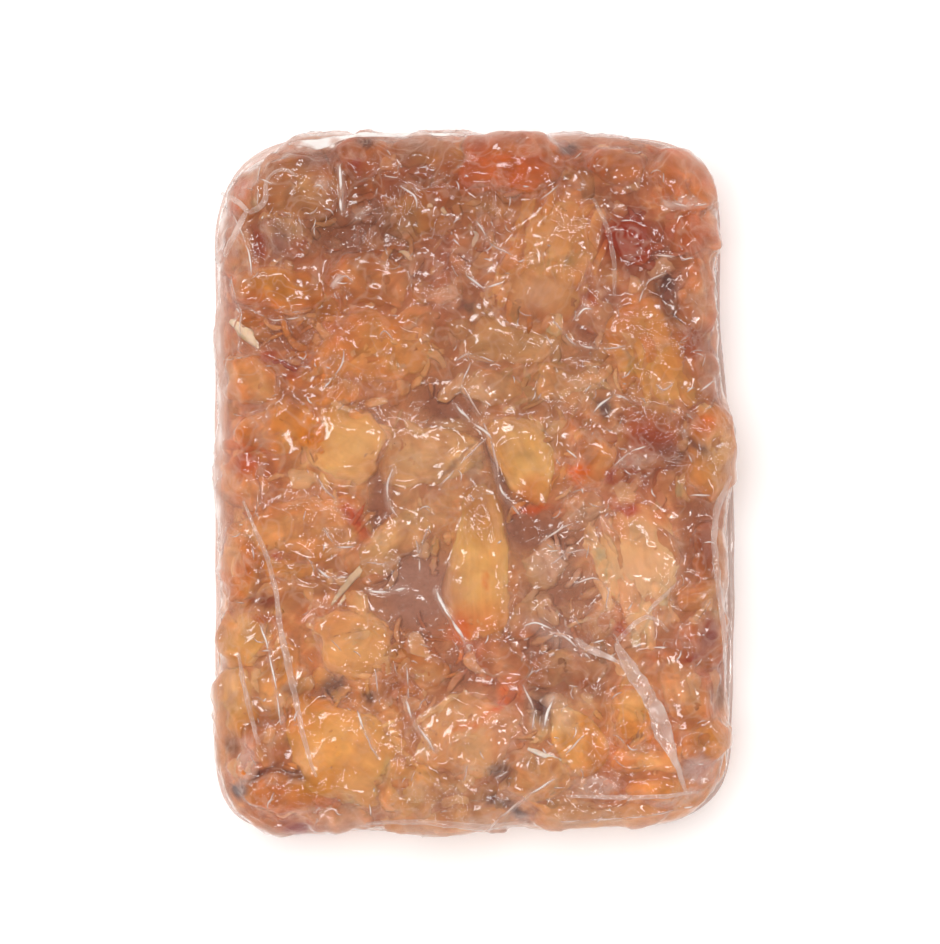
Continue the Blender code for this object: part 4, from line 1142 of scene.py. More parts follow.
def loose_flake(stock, n, x, y, length, width, thickness, sink, lean, pale):
    """A flake of meat caught in the juice between the pieces."""
    local = points_of(stock) * MM * (length / 2, width / 2, thickness / 2)
    local *= (1 + noise_at(local, length * 0.5, n * 0.37) * 0.5)[:, None]
    local += stretched_noise(local, (3.0, 0.8, 0.8), n * 0.13)[:, None] * (0, 0, 0.35)
    turned = Matrix.Rotation(math.radians(lean[2]), 3, "Z")
    turned = Matrix.Rotation(math.radians(lean[0]), 3, "X") @ turned
    turned = Matrix.Rotation(math.radians(lean[1]), 3, "Y") @ turned
    place = (x, y, crown_at(x, y)[0] - sink - FILM_GAP - thickness / 2)
    points = torn(local @ np.array(turned).T + place, 1.3)
    flake = copy_of(stock, f"flake_{n}")
    set_points(flake, points)
    shade = tone_field(points)
    shade = shade * (1 - max(0, pale)) + hex_rgb("#D9B08A") * max(0, pale)
    if pale < 0:
        shade = shade * 0.72
    tint = np.ones((len(points), 1)) * shade * (1 + 0.2 * noise_at(local, 1.2, n))[:, None]
    give_stained(flake, points, mottled(points, tint, 0.6))
    give_grain(flake, local + np.array((n * 7.0, 0, 3.0)))
    return flake


def loose_flakes():
    """The flakes between the pieces, on an uneven grid."""
    stock = ball("flake")
    pitch, tilt, thickness = 5.2, 16, 2.2
    count = round(80 / pitch)
    made = []
    for row in range(-count, count + 1):
        for column in range(-count, count + 1):
            x = column * pitch + draw.uniform(-0.5, 0.5) * pitch
            y = row * pitch + draw.uniform(-0.5, 0.5) * pitch
            length = draw.uniform(5.0, 10.0)
            width = length * draw.uniform(0.5, 0.85)
            sink = draw.uniform(-0.7, 1.0)
            chance = draw.random()
            lean = (draw.uniform(-tilt, tilt), draw.uniform(-tilt, tilt), draw.uniform(0, 360))
            pale = draw.uniform(-0.25, 0.55)
            if abs(x) > 58 or abs(y) > 79 or chance > fineness(x, y) or is_covered(x, y, 0.0):
                continue
            if wall_depth(x, y) >= length / 2 + 0.6:
                made.append(loose_flake(stock, len(made), x, y, length, width, thickness, sink, lean, pale))
    bpy.data.objects.remove(stock)
    return joined("large_flakes", made)


def packed_core():
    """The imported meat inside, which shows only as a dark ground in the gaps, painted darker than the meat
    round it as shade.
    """
    core = slab_body("packed_core", 2.6, 2.9)
    select_only(core)
    bpy.ops.object.mode_set(mode="EDIT")
    bpy.ops.mesh.select_all(action="SELECT")
    bpy.ops.mesh.quads_convert_to_tris()
    bpy.ops.object.mode_set(mode="OBJECT")
    remesh(core, CORE_GRAIN)
    points = points_of(core)
    points += normals_of(core) * (noise_at(points, 7.0, 5) * 1.3 + noise_at(points, 2.4, 6) * 0.6)[:, None]
    set_points(core, points)
    # painted shade deep in the gaps: the core is two thirds as bright as the meat round it
    shade = mixed(mottled(points, tone_field(points) * 0.66), hex_rgb("#6E4032"), hollow_share(points))
    give_tint(core, stained(points, shade))
    give_grain(core, points)
    return core


def picked_meat(film):
    """Meat picked to shreds, which fills the space between the pieces just under the film."""
    picked = copy_of(film, "picked_meat")
    remesh(picked, PICKED_GRAIN)
    points = points_of(picked)
    facing = normals_of(picked)
    hollow = hollow_share(points)
    shreds = noise_at(points, 2.6, 110) * 0.34 + noise_at(points, 1.3, 111) * 0.26
    shreds += 0.30 * np.clip(1 - np.abs(noise_at(points, 3.6, 112)) / 0.16, 0, 1)
    points -= facing * (0.42 - shreds * 0.7 + 2.0 * hollow)[:, None]
    set_points(picked, points)
    level = np.clip(shreds / 0.5, -1, 1)
    shade = tone_field(points, 3.0) * (0.98, 0.90, 0.86)
    shade = mixed(shade, hex_rgb("#AC765E"), evenly(points, 0.35))
    # painted shade and highlight: the lowest shreds are darker and the highest ones paler cream
    shade = mixed(shade, shade * (0.76, 0.62, 0.56), np.clip(0.25 - level * 0.5, 0, 1))
    shade = mixed(shade, hex_rgb("#DDAA78"), np.clip(level - 0.35, 0, 1) * 0.6)
    shade = mixed(mottled(points, shade, 0.7), hex_rgb("#7E4A38"), hollow)
    give_stained(picked, points, shade)
    give_grain(picked, points)
    finish_surface(picked, SHREDDED)
    give_attribute(picked, "mottle", "FLOAT", np.clip(1 - hollow, 0.25, 1))
    return picked


# ---------------------------------------------------------------- shreds, strips and bubbles


def flat_strip(name, path, halves, sink, thickness, tight_tree):
    """A six-sided strip of meat, flat and closed at both ends, lying under the film along a path."""
    rings = []
    path = np.array(path)
    for k, ((x, y), side, half) in enumerate(zip(path, sideways(path), halves)):
        share = k / (len(path) - 1)
        arch = 0.2 * math.sin(math.pi * share) - 0.6 * abs(share - 0.5)
        middle = height_under(tight_tree, x, y) - sink + arch
        ring = []
        for corner in range(6):
            angle = corner * math.pi / 3
            across, upward = math.cos(angle) * half, math.sin(angle) * min(thickness / 2, half * 0.42)
            ring.append((x + side[0] * across, y + side[1] * across, middle + upward))
        rings.append(ring)
    return ring_stack(name, rings)


# What tints a shred: up to this chance, the colour, and the least and most share of it
SHRED_TONES = ((0.30, "#DDB48A", 0.15, 0.45), (0.50, "#C08A78", 0.2, 0.5), (0.62, "#9C4E30", 0.2, 0.5))


def shred_tint(points, chance):
    """A shred's colour: that of the meat round it, paler, pinker, redder or darker."""
    tint = tone_field(points, 3.0)
    for limit, code, least, most in SHRED_TONES:
        if chance < limit:
            return mixed(tint, hex_rgb(code), evenly(points, draw.uniform(least, most)))
    return tint * draw.uniform(0.8, 1.02)


def make_shred(n, x, y, tight_tree):
    """One curled shred of meat."""
    length, width = draw.uniform(2.4, 8.0), draw.uniform(0.7, 2.4)
    heading, curl = draw.uniform(0, 2 * math.pi), draw.gauss(0, 0.16)
    sink, stations = draw.uniform(0.3, 0.65), 7
    chance = draw.random()
    step = length / (stations - 1)
    path, halves = [], []
    for k in range(stations):
        share = k / (stations - 1)
        halves.append(width / 2 * max(0.25, math.sin(math.pi * (0.1 + 0.8 * share)) ** 0.6)
                      * draw.uniform(0.65, 1.35))
        path.append((x, y))
        x += math.cos(heading) * step
        y += math.sin(heading) * step
        heading += curl * step + draw.gauss(0, 0.12)
    shred = flat_strip(f"shred_{n}", path, halves, sink, 0.6, tight_tree)
    points = points_of(shred)
    give_stained(shred, points, shred_tint(points, chance))
    give_grain(shred, points + (n * 3.0, 0, 0))
    return shred


def named_strips(tight_tree):
    """The strips that show by themselves."""
    made = []
    for n, (path, halves, sink, code) in enumerate(STRIPS):
        strip = flat_strip(f"strip_{n}", path, halves, sink, 1.2, tight_tree)
        points = points_of(strip)
        tint = hex_rgb(code) * (1 + 0.12 * noise_at(points, 1.4, n))[:, None]
        give_tint(strip, np.clip(tint, 0, 1))
        give_grain(strip, points)
        made.append(strip)
    return made


def fine_shreds(count, tight_tree):
    """Shreds over the fine meat and over the rims of the pieces, but not on their middles."""
    made = []
    while len(made) < count:
        x, y = draw.uniform(-56, 56), draw.uniform(-77, 77)
        if draw.random() > fineness(x, y) or any(
                math.hypot(x - row[0], y - row[1]) < row[3] / 2 - 0.5 for row in WHOLE):
            continue
        if wall_depth(x, y) >= 9.0:
            made.append(make_shred(len(made), x, y, tight_tree))
    shreds = joined("fine_shreds", made + named_strips(tight_tree))
    finish_surface(shreds, SHREDDED)
    give_level(shreds, "mottle", 0.5)
    return shreds


def bubbles(count, tight_tree):
    """Air bubbles frozen in the clear juice, close under the film."""
    select_only()
    bpy.ops.mesh.primitive_uv_sphere_add(segments=8, ring_count=6, radius=1.0)
    stock = bpy.context.object
    base = points_of(stock) * MM
    made = []
    while len(made) < count:
        row = CLEAREST[draw.randrange(2)] if draw.random() < 0.45 else HOLLOWS[draw.randrange(len(HOLLOWS))]
        x, y = draw.gauss(row[0], row[2] * 0.8), draw.gauss(row[1], row[3] * 0.8)
        if is_covered(x, y, -0.5) or wall_depth(x, y) < 3.0:
            continue
        radius = draw.choice((0.14, 0.16, 0.2, 0.24, 0.34)) * draw.uniform(0.9, 1.2)
        bubble = copy_of(stock, f"bubble_{len(made)}")
        place = (x, y, height_under(tight_tree, x, y) - 0.25 - radius)
        set_points(bubble, base * (radius, radius * draw.uniform(0.8, 1.0), radius * 0.8) + place)
        made.append(bubble)
    bpy.data.objects.remove(stock)
    made = joined("air_bubbles", made)
    give_level(made, "haze", 0.30)
    give_level(made, "crinkle", 0.0)
    finish_surface(made, FILM)
    return made

# ---------------------------------------------------------------- the film and the juice


def tight_film(wrapped):
    """The pouch's film, drawn tight: a skin over all these pieces, smoothed and shrunk onto them in turn."""
    skin = joined("skin", wrapped)
    skin.data.materials.clear()
    remesh(skin, SKIN_GRAIN)
    film = copy_of(skin, "pouch_film")
    for n, passes in enumerate((60, 40, 20, 5)):
        smooth = film.modifiers.new(f"tight_{n}", "SMOOTH")
        smooth.factor = 0.5
        smooth.iterations = passes
        wrap = film.modifiers.new(f"outside_{n}", "SHRINKWRAP")
        wrap.target = skin
        wrap.wrap_method = "NEAREST_SURFACEPOINT"
        wrap.wrap_mode = "OUTSIDE"
        wrap.offset = 0.05 * MM
    apply_modifiers(film)
    bpy.data.objects.remove(skin)
    return film


def stand_off(film):
    """Down the left side and along the far side the film stands off the meat, with juice behind it."""
    points = points_of(film)
    facing = normals_of(film)
    belly = np.clip((points[:, 2] - 8) / 8, 0, 1) * np.clip((24 - points[:, 2]) / 6, 0, 1)
    belly *= 0.85 + 0.4 * noise_at(points, 12.0, 61)
    left = np.clip(-1.6 * facing[:, 0] - 0.3, 0, 1) * np.clip((points[:, 1] + 25) / 12, 0, 1)
    points[:, 0] -= 2.0 * belly * left * np.clip((74 - points[:, 1]) / 10, 0, 1)
    points[:, 1] += 0.9 * belly * np.clip(1.6 * facing[:, 1] - 0.3, 0, 1)
    set_points(film, points)


def juice_depth(points, facing, meat_kinds):
    """How deep the juice is at each point of its surface, in millimetres."""
    trees = [tree_of(piece) for piece in meat_kinds]
    outside, farthest = 0.6, 9.0
    depths = np.full(len(points), farthest)
    for i, (place, normal) in enumerate(zip(points * MM, facing)):
        start, way = Vector(place + normal * outside * MM), Vector(-normal)
        for tree in trees:
            hit = tree.ray_cast(start, way, farthest * MM)
            if hit[0] is not None:
                depths[i] = min(depths[i], hit[3] / MM - outside)
    return np.maximum(depths, 0.0)


def frozen_juice(film, meat_kinds):
    """The juice: a body just inside the film, which hides more the deeper it is."""
    juice = copy_of(film, "frozen_juice")
    remesh(juice, JUICE_GRAIN)
    points = points_of(juice)
    facing = normals_of(juice)
    points -= facing * 0.22
    set_points(juice, points)
    depths = juice_depth(points, facing, meat_kinds)
    give_attribute(juice, "depth", "FLOAT", 0.84 * (1 - np.exp(-np.maximum(0, depths - 0.1) / 0.65)))
    shade = mixed(tone_field(points) * (0.92, 0.82, 0.80), hex_rgb("#B27C68"), evenly(points, 0.4))
    shade = mixed(shade, hex_rgb("#965C46"), np.clip(noise_at(points, 9.0, 11) + depths / 4 - 0.3, 0, 0.8))
    shade = mixed(shade, hex_rgb("#98624C"), hollow_share(points))
    shade = mixed(shade, hex_rgb("#CFA490"), np.exp(-np.maximum(nearest_wall(points)[0], 0) / 1.5)
                  * np.clip((points[:, 2] - 12) / 6, 0.1, 1))
    give_tint(juice, stained(points, shade))
    finish_surface(juice, JUICE)
    return juice


def hollowness(obj, points, facing):
    """How far each point lies inside its neighbours: more than nothing in a hollow, less on a ridge."""
    ends = np.empty(len(obj.data.edges) * 2, int)
    obj.data.edges.foreach_get("vertices", ends)
    ends = ends.reshape(-1, 2)
    around = np.zeros((len(points), 3))
    sides = np.zeros(len(points))
    for near, far in ((0, 1), (1, 0)):
        np.add.at(around, ends[:, near], points[ends[:, far]])
        np.add.at(sides, ends[:, near], 1)
    return ((around / sides[:, None] - points) * facing).sum(axis=1)


def wrinkle_film(film):
    """Lifts the film into creases and wrinkles, and gives it its haze and its crinkle."""
    points = points_of(film)
    facing = normals_of(film)
    upper = np.clip((points[:, 2] - 17) / 4, 0, 1)
    shift = wander(points, 3.0, 21) * 0.5
    fine_places = fine_share(points)
    lift = np.zeros(len(points))
    haze = 0.02 + 0.07 * np.clip(noise_at(points, 13.0, 26) + 0.3 * noise_at(points, 5.0, 27), 0, 0.8)
    # a thin milky line runs where the film leaves a piece for the juice, partly a painted highlight along the
    # bend
    leaving = np.clip(hollowness(film, points, facing) / 0.05, 0, 1)
    haze += leaving * np.clip(0.5 + noise_at(points, 4.0, 24) * 1.5, 0, 1) * 0.11
    # the creases are raised, and their haze is partly milky film and partly a painted glint along each
    for line, half_width, height, milk in CREASES:
        share = np.clip(1 - distance_to_line(points[:, :2] + shift, line) / half_width, 0, 1) * upper
        lift = np.maximum(lift, height * share)
        haze = np.maximum(haze, milk * share)
    # towards the wall the film is stretched less, and stays milky
    rim = np.exp(-np.maximum(nearest_wall(points)[0], 0) / 1.7) * np.clip((points[:, 2] - 13) / 6, 0.12, 1)
    haze = np.maximum(haze, rim * np.clip(0.62 + 0.5 * noise_at(points, 6.0, 25), 0.3, 0.85))
    cloudy = 0.75 + 0.5 * noise_at(points, 1.6, 23)
    for *oval, milk in MILKY:
        share = np.clip((1.25 - oval_size(points[:, :2] + shift * 2, *oval)) * 2, 0, 1) * upper
        haze = np.maximum(haze, milk * share * cloudy)
    # a net of wrinkles in three sizes
    for spacing, amount, seed in ((9.0, 0.42, 31), (4.6, 0.34, 32), (3.0, 0.2, 33)):
        net = np.abs(noise_at(points, spacing, seed))
        mask = np.clip(noise_at(points, spacing * 2.3, seed + 10) * 2.2 + 0.3, 0, 1)
        ridge = mask * np.clip(1 - net / 0.12, 0, 1)
        lift += amount * ridge
        haze = np.maximum(haze, 0.08 * ridge)
    lift += noise_at(points, 2.7, 91) * (0.12 + 0.24 * fine_places)
    lift += noise_at(points, 5.5, 92) * 0.30
    lift += stretched_noise(points, (3.2, 9.0, 6.0), 93) * 0.22
    points = np.clip(points + facing * lift[:, None], LOW + 0.03, HIGH - 0.03)
    set_points(film, points)
    give_attribute(film, "haze", "FLOAT", haze)
    patchy = np.clip(0.25 + noise_at(points, 7.0, 51) * 1.7, 0.06, 1.0)
    give_attribute(film, "crinkle", "FLOAT", np.clip(patchy * (0.5 + 0.5 * fine_places), 0, 1))
    finish_surface(film, FILM)


def split_film(film):
    """Parts the film: the upper one ends at the foot of the wall, and the lower one is the underside."""
    select_only(film)
    for face in film.data.polygons:
        face.select = face.center.z < 2.0 * MM and face.normal.z < -0.3
    bpy.ops.object.mode_set(mode="EDIT")
    bpy.ops.mesh.select_mode(type="FACE")
    bpy.ops.mesh.separate(type="SELECTED")
    bpy.ops.object.mode_set(mode="OBJECT")
    back_film = next(o for o in bpy.context.selected_objects if o is not film)
    film.name = "upper_film"
    back_film.name = "lower_film"
    return back_film


def film_sheet(name, rows, haze, crinkle=0.12, closed=False):
    """A sheet of film whose points are given row by row, thickened as two clinging films."""
    count = len(rows[0])
    faces = []
    for i in range(len(rows) - (0 if closed else 1)):
        j = (i + 1) % len(rows)
        for k in range(count - 1):
            faces.append((i * count + k, j * count + k, j * count + k + 1, i * count + k + 1))
    sheet = new_mesh_object(name, np.concatenate(rows), faces)
    give_attribute(sheet, "haze", "FLOAT", np.concatenate(haze))
    give_level(sheet, "crinkle", crinkle)
    thick = sheet.modifiers.new("two_films", "SOLIDIFY")
    thick.thickness = TWO_FILMS * MM
    thick.offset = 0.0
    apply_modifiers(sheet)
    finish_surface(sheet, FILM)
    return sheet


def make_hem():
    """The margin where the two films cling together on the table, creased along its length."""
    rows, haze = [], []
    shares = np.linspace(0, 1, 12)
    for i, (place, out) in enumerate(zip(HEM, HEM_OUT)):
        inward = (1 - shares) * HEM_ROOT
        points = place - out * inward[:, None]
        near = np.column_stack([points, np.zeros(len(points))])
        wave = noise_at(near, 4.0, 101) * 0.25 + stretched_noise(near, (8.0, 8.0, 8.0), 102) * 0.3
        crease = np.exp(-((shares - 0.55 - 0.12 * noise.noise(Vector((i * 0.05, 3, 0)))) / 0.05) ** 2)
        second = np.exp(-((shares - 0.8 - 0.10 * noise.noise(Vector((i * 0.04, 9, 0)))) / 0.05) ** 2)
        height = 0.5 + (1 - shares) * 1.1 + wave * 0.6 + 0.22 * crease + 0.15 * second
        edge = 0.35 * (1 + noise.noise(Vector((i * 0.11, 0, 0)))) * shares
        points = points - out * edge[:, None]
        rows.append(np.column_stack([points, np.clip(height, 0.15, 2.6)]))
        cloudy = 0.5 + 0.2 * crease + 0.2 * second + 0.2 * noise_at(near, 5.0, 103)
        haze.append(np.clip(cloudy, 0.25, 0.85))
    return film_sheet("hem_film", rows, haze, closed=True)


def make_gusset(n, x, y, head):
    """Spare film tented from the wall down to the hem's edge."""
    i = int(((HEM - (x, y)) ** 2).sum(axis=1).argmin())
    out = HEM_OUT[i]
    side = np.array((-out[1], out[0]))
    rows, haze = [], []
    for row in range(9):
        up = row / 8
        points = []
        for k in range(8):
            share = k / 7
            reach = 4.8 - share * 4.3 * (1 - 0.75 * up ** 0.7)
            z = 0.35 + up * (head - 0.5) * (1 - share * 0.78)
            bow = 0.5 * math.sin(share * 3.0 + n) * up + 0.3 * math.sin(up * 5 + n)
            points.append((*(HEM[i] - out * reach + side * bow), z))
        rows.append(np.array(points))
        haze.append(np.full(8, 0.30) + 0.2 * (np.arange(8) == 7))
    return film_sheet(f"gusset_{n}", rows, haze)


def make_fold(n, line, milk, film_tree):
    """A fold of spare film lying on the pouch: a flat ribbon, a little higher along its middle and lighter
    along each edge.
    """
    line = np.array(line)
    path = eased(points_along(line, np.arange(0, walked_lengths(line)[-1], 0.7)), 6)
    shares = np.linspace(-1, 1, 9)
    rim = 0.16 * (np.abs(shares) > 0.8)
    rows, haze = [], []
    for k, ((x, y, half), side) in enumerate(zip(path, sideways(path))):
        row = []
        for share in shares:
            uneven = 1 + 0.32 * noise.noise(Vector((k * 0.3, share, n * 3.1)))
            place_x, place_y = (x, y) + side * share * half * uneven
            z = max(height_under(film_tree, place_x, place_y), FOLD_FLOOR)
            wave = 0.14 * noise.noise(Vector((k * 0.42, share * 1.6, n * 2.3)))
            z += 0.14 + 0.16 * (1 - share ** 4) + wave
            row.append((place_x, place_y, min(z, HIGH[2] - 0.1)))
        rows.append(np.array(row))
        cloudy = np.clip(0.85 + 0.9 * noise_at(rows[-1], 3.5, 105 + n), 0.2, 1.4)
        fade = min(1.0, k / 4, (len(path) - 1 - k) / 4)
        haze.append(np.clip((milk * cloudy + rim) * (0.4 + 0.6 * fade) * 0.66, 0, 0.95))
    smooth = np.array(rows)
    eased(smooth[:, :, 2], 3)
    return film_sheet(f"fold_{n}", list(smooth), haze, crinkle=0.5)


def make_glint_crease(n, line, half, milk, film_tree):
    """A sharp crease: a narrow ridge of film that tapers to nothing at both ends, whose milky white is a
    painted glint along its ridge.
    """
    line = np.array(line)
    length = walked_lengths(line)[-1]
    path = points_along(line, np.linspace(0, length, max(5, round(length / 0.45))))
    for axis, seed in ((0, n + 0.2), (1, n + 0.6)):
        path[:, axis] += noise_at(np.column_stack([path, np.zeros(len(path))]), 2.4, seed) * 0.35
    path = eased(path, 3)
    rows, haze = [], []
    for k, ((x, y), side) in enumerate(zip(path, sideways(path))):
        taper = math.sin(math.pi * (k + 0.15) / (len(path) - 0.7)) ** 0.6
        uneven = taper * (0.7 + 0.6 * abs(noise.noise(Vector((k * 0.31, n * 1.7, 0)))))
        z = height_under(film_tree, x, y)
        rows.append(np.array([(*((x, y) + side * share * half * uneven), min(z + rise, HIGH[2] - 0.05))
                              for share, rise in ((-1, 0.0), (0, 0.05 + 0.22 * uneven), (1, 0.0))]))
        haze.append(np.full(3, milk * (0.45 + 0.55 * taper)))
    return film_sheet(f"crease_{n}", rows, haze)


def broken_line(line, half, milk):
    """A long crease in two or three lengths with gaps between them."""
    line = np.array(line)
    total = walked_lengths(line)[-1]
    lengths, start = [], 0.0
    while start < total - 0.8:
        end = min(total, start + draw.uniform(3.0, 9.0))
        lengths.append((points_along(line, np.linspace(start, end, 6)),
                        half * draw.uniform(0.7, 1.2), min(1.0, milk * draw.uniform(0.6, 1.1))))
        start = end + draw.uniform(0.3, 2.4)
    return lengths


def short_glint_strokes(count):
    """Short curved creases painted white as glints, most of them where the film leaves a piece or lies over
    fine meat.
    """
    found = []
    while len(found) < count:
        if draw.random() < 0.55:
            row = PIECES[draw.randrange(len(PIECES))]
            angle, turn = draw.uniform(0, 2 * math.pi), math.radians(row[4])
            reach = draw.uniform(0.85, 1.12)
            ahead, aside = reach * math.cos(angle) * row[2] / 2, reach * math.sin(angle) * row[3] / 2
            x = row[0] + math.cos(turn) * ahead - math.sin(turn) * aside
            y = row[1] + math.sin(turn) * ahead + math.cos(turn) * aside
            heading = turn + angle + math.pi / 2 + draw.gauss(0, 0.5)
        else:
            x, y = draw.uniform(-55, 55), draw.uniform(-75, 75)
            heading = draw.uniform(0, 2 * math.pi)
            if draw.random() > fineness(x, y):
                continue
        if wall_depth(x, y) < 3.0:
            continue
        length, curl = draw.uniform(0.7, 3.2), draw.uniform(-0.8, 0.8)
        line = []
        for k in range(5):
            line.append((x, y))
            x += math.cos(heading) * length / 4
            y += math.sin(heading) * length / 4
            heading += curl * length / 4
        found.append((line, draw.uniform(0.08, 0.2), draw.uniform(0.25, 0.9)))
    return found


def creases_painted_as_glints(film_tree):
    """All the sharp creases, whose white is a painted glint: the drawn ones and the short strokes between
    them.
    """
    strokes = []
    # painted highlight: each stroke's haze, up to full white, stands for the glint on its crease
    for line, _, rise, milk in CREASES:
        strokes += broken_line(line, 0.15 + 0.30 * (rise - 0.3), 0.5 + milk)
    strokes += short_glint_strokes(240)
    return joined("creases_painted_as_glints", [make_glint_crease(n, *row, film_tree) for n, row in enumerate(strokes)])


def tuck_under(piece, film_tree):
    """Moves the points that would break through the film to just under it."""
    gap = 0.12 * MM
    points = points_of(piece)
    for i, point in enumerate(points):
        start = Vector(point * MM)
        place, normal, _, _ = film_tree.find_nearest(start, 3.0 * MM)
        if place is not None and (start - place).dot(normal) > -gap:
            points[i] = np.array(place - normal * gap) / MM
    set_points(piece, points)

# ---------------------------------------------------------------- materials


def add(tree, kind, inputs=(), **settings):
    """Adds a node, sets it up, and links or sets its inputs."""
    made = tree.nodes.new(kind)
    for name, value in settings.items():
        setattr(made, name, value)
    for socket, value in dict(inputs).items():
        if isinstance(value, bpy.types.NodeSocket):
            tree.links.new(value, made.inputs[socket])
        else:
            made.inputs[socket].default_value = value
    return made


def new_material(name):
    """An empty node material and its output node."""
    material = bpy.data.materials.new(name)
    material.use_nodes = True
    tree = material.node_tree
    tree.nodes.clear()
    return material, tree, tree.nodes.new("ShaderNodeOutputMaterial")


def cooked_crab_meat(name, scatter):
    """Cooked crab meat, wet: the tint of each place, fine fibres, and light scattered under it."""
    material, tree, out = new_material(name)
    tint = add(tree, "ShaderNodeAttribute", attribute_name="tint")
    grain = add(tree, "ShaderNodeAttribute", attribute_name="grain")
    stretch = add(tree, "ShaderNodeMapping", {0: grain.outputs["Vector"], "Scale": (0.16, 1.2, 1.2)})
    fibres = add(tree, "ShaderNodeTexNoise", {"Vector": stretch.outputs[0], "Scale": 1.0, "Detail": 4.0,
                                              "Roughness": 0.6})
    light = add(tree, "ShaderNodeMapRange", {"Value": fibres.outputs["Fac"], 1: 0.3, 2: 0.7,
                                             3: 0.96, 4: 1.04})
    mottle = add(tree, "ShaderNodeAttribute", attribute_name="mottle")
    place = add(tree, "ShaderNodeTexCoord")
    # soft blotches 5 mm across, as of shreds seen through juice
    blotch = add(tree, "ShaderNodeTexNoise", {"Vector": place.outputs["Object"], "Scale": 1 / (5.0 * MM),
                                              "Detail": 2.5, "Roughness": 0.5, "Distortion": 0.9})
    depth = add(tree, "ShaderNodeMapRange", {"Value": blotch.outputs["Fac"], 1: 0.3, 2: 0.7,
                                             3: -0.20, 4: 0.20})
    shade = add(tree, "ShaderNodeMath", {0: depth.outputs[0], 1: mottle.outputs["Fac"], 2: light.outputs[0]},
                operation="MULTIPLY_ADD")
    shaded = add(tree, "ShaderNodeVectorMath", {0: tint.outputs["Color"], "Scale": shade.outputs[0]},
                 operation="SCALE")
    # pale wisps of membrane, drawn 0.6 mm wide where the real ones are finer
    wave = add(tree, "ShaderNodeTexNoise", {"Vector": place.outputs["Object"], "Scale": 1 / (9.0 * MM),
                                            "Detail": 2.0, "Roughness": 0.5, "Distortion": 1.2})
    off = add(tree, "ShaderNodeMath", {0: wave.outputs["Fac"], 1: 0.5}, operation="SUBTRACT")
    gap = add(tree, "ShaderNodeMath", {0: off.outputs[0]}, operation="ABSOLUTE")
    wisp = add(tree, "ShaderNodeMapRange", {"Value": gap.outputs[0], 1: 0.0, 2: 0.05, 3: 0.24, 4: 0.0},
               interpolation_type="SMOOTHSTEP")
    wisps = add(tree, "ShaderNodeMath", {0: wisp.outputs[0], 1: mottle.outputs["Fac"]}, operation="MULTIPLY")
    veiled = add(tree, "ShaderNodeMix", {0: wisps.outputs[0], 6: shaded.outputs[0], 7: hex_rgba("#DDB49C")},
                 data_type="RGBA")
    # brown fat soaked in, in patches 7 mm across
    soak = add(tree, "ShaderNodeTexNoise", {"Vector": place.outputs["Object"], "Scale": 1 / (7.0 * MM),
                                            "Detail": 3.0, "Roughness": 0.55, "Distortion": 0.8})
    brown = add(tree, "ShaderNodeMapRange", {"Value": soak.outputs["Fac"], 1: 0.50, 2: 0.74, 3: 0.0, 4: 0.6})
    browned = add(tree, "ShaderNodeMath", {0: brown.outputs[0], 1: mottle.outputs["Fac"]},
                  operation="MULTIPLY")
    colour = add(tree, "ShaderNodeMix", {0: browned.outputs[0], 6: veiled.outputs[2], 7: hex_rgba("#9A5234")},
                 data_type="RGBA")
    bump = add(tree, "ShaderNodeBump", {"Height": fibres.outputs["Fac"], "Strength": 0.25,
                                        "Distance": 0.0003})
    shader = add(tree, "ShaderNodeBsdfPrincipled", {
        "Base Color": colour.outputs[2],
        "Roughness": 0.5,
        "Specular IOR Level": 0.15,
        "Subsurface Weight": 0.45,
        "Subsurface Radius": (1.0, 0.45, 0.22),
        "Subsurface Scale": scatter,
        "Normal": bump.outputs[0],
    })
    tree.links.new(shader.outputs[0], out.inputs["Surface"])
    return material


def frozen_crab_juice():
    """Frozen crab juice: a cloudy mauve brown ice that hides more the deeper it is."""
    material, tree, out = new_material("frozen_crab_juice")
    depth = add(tree, "ShaderNodeAttribute", attribute_name="depth")
    tint = add(tree, "ShaderNodeAttribute", attribute_name="tint")
    place = add(tree, "ShaderNodeTexCoord")
    # clouds of fine bubbles and protein 2.6 mm across
    cloud = add(tree, "ShaderNodeTexNoise", {"Vector": place.outputs["Object"], "Scale": 380.0,
                                             "Detail": 4.0, "Roughness": 0.62})
    uneven = add(tree, "ShaderNodeMapRange", {"Value": cloud.outputs["Fac"], 1: 0.3, 2: 0.7, 3: 0.72,
                                              4: 1.25})
    alpha = add(tree, "ShaderNodeMath", {0: depth.outputs["Fac"], 1: uneven.outputs[0]},
                operation="MULTIPLY", use_clamp=True)
    shader = add(tree, "ShaderNodeBsdfPrincipled", {
        "Base Color": tint.outputs["Color"],
        "Roughness": 0.35,
        "Specular IOR Level": 0.1,
        "Alpha": alpha.outputs[0],
    })
    tree.links.new(shader.outputs[0], out.inputs["Surface"])
    return material


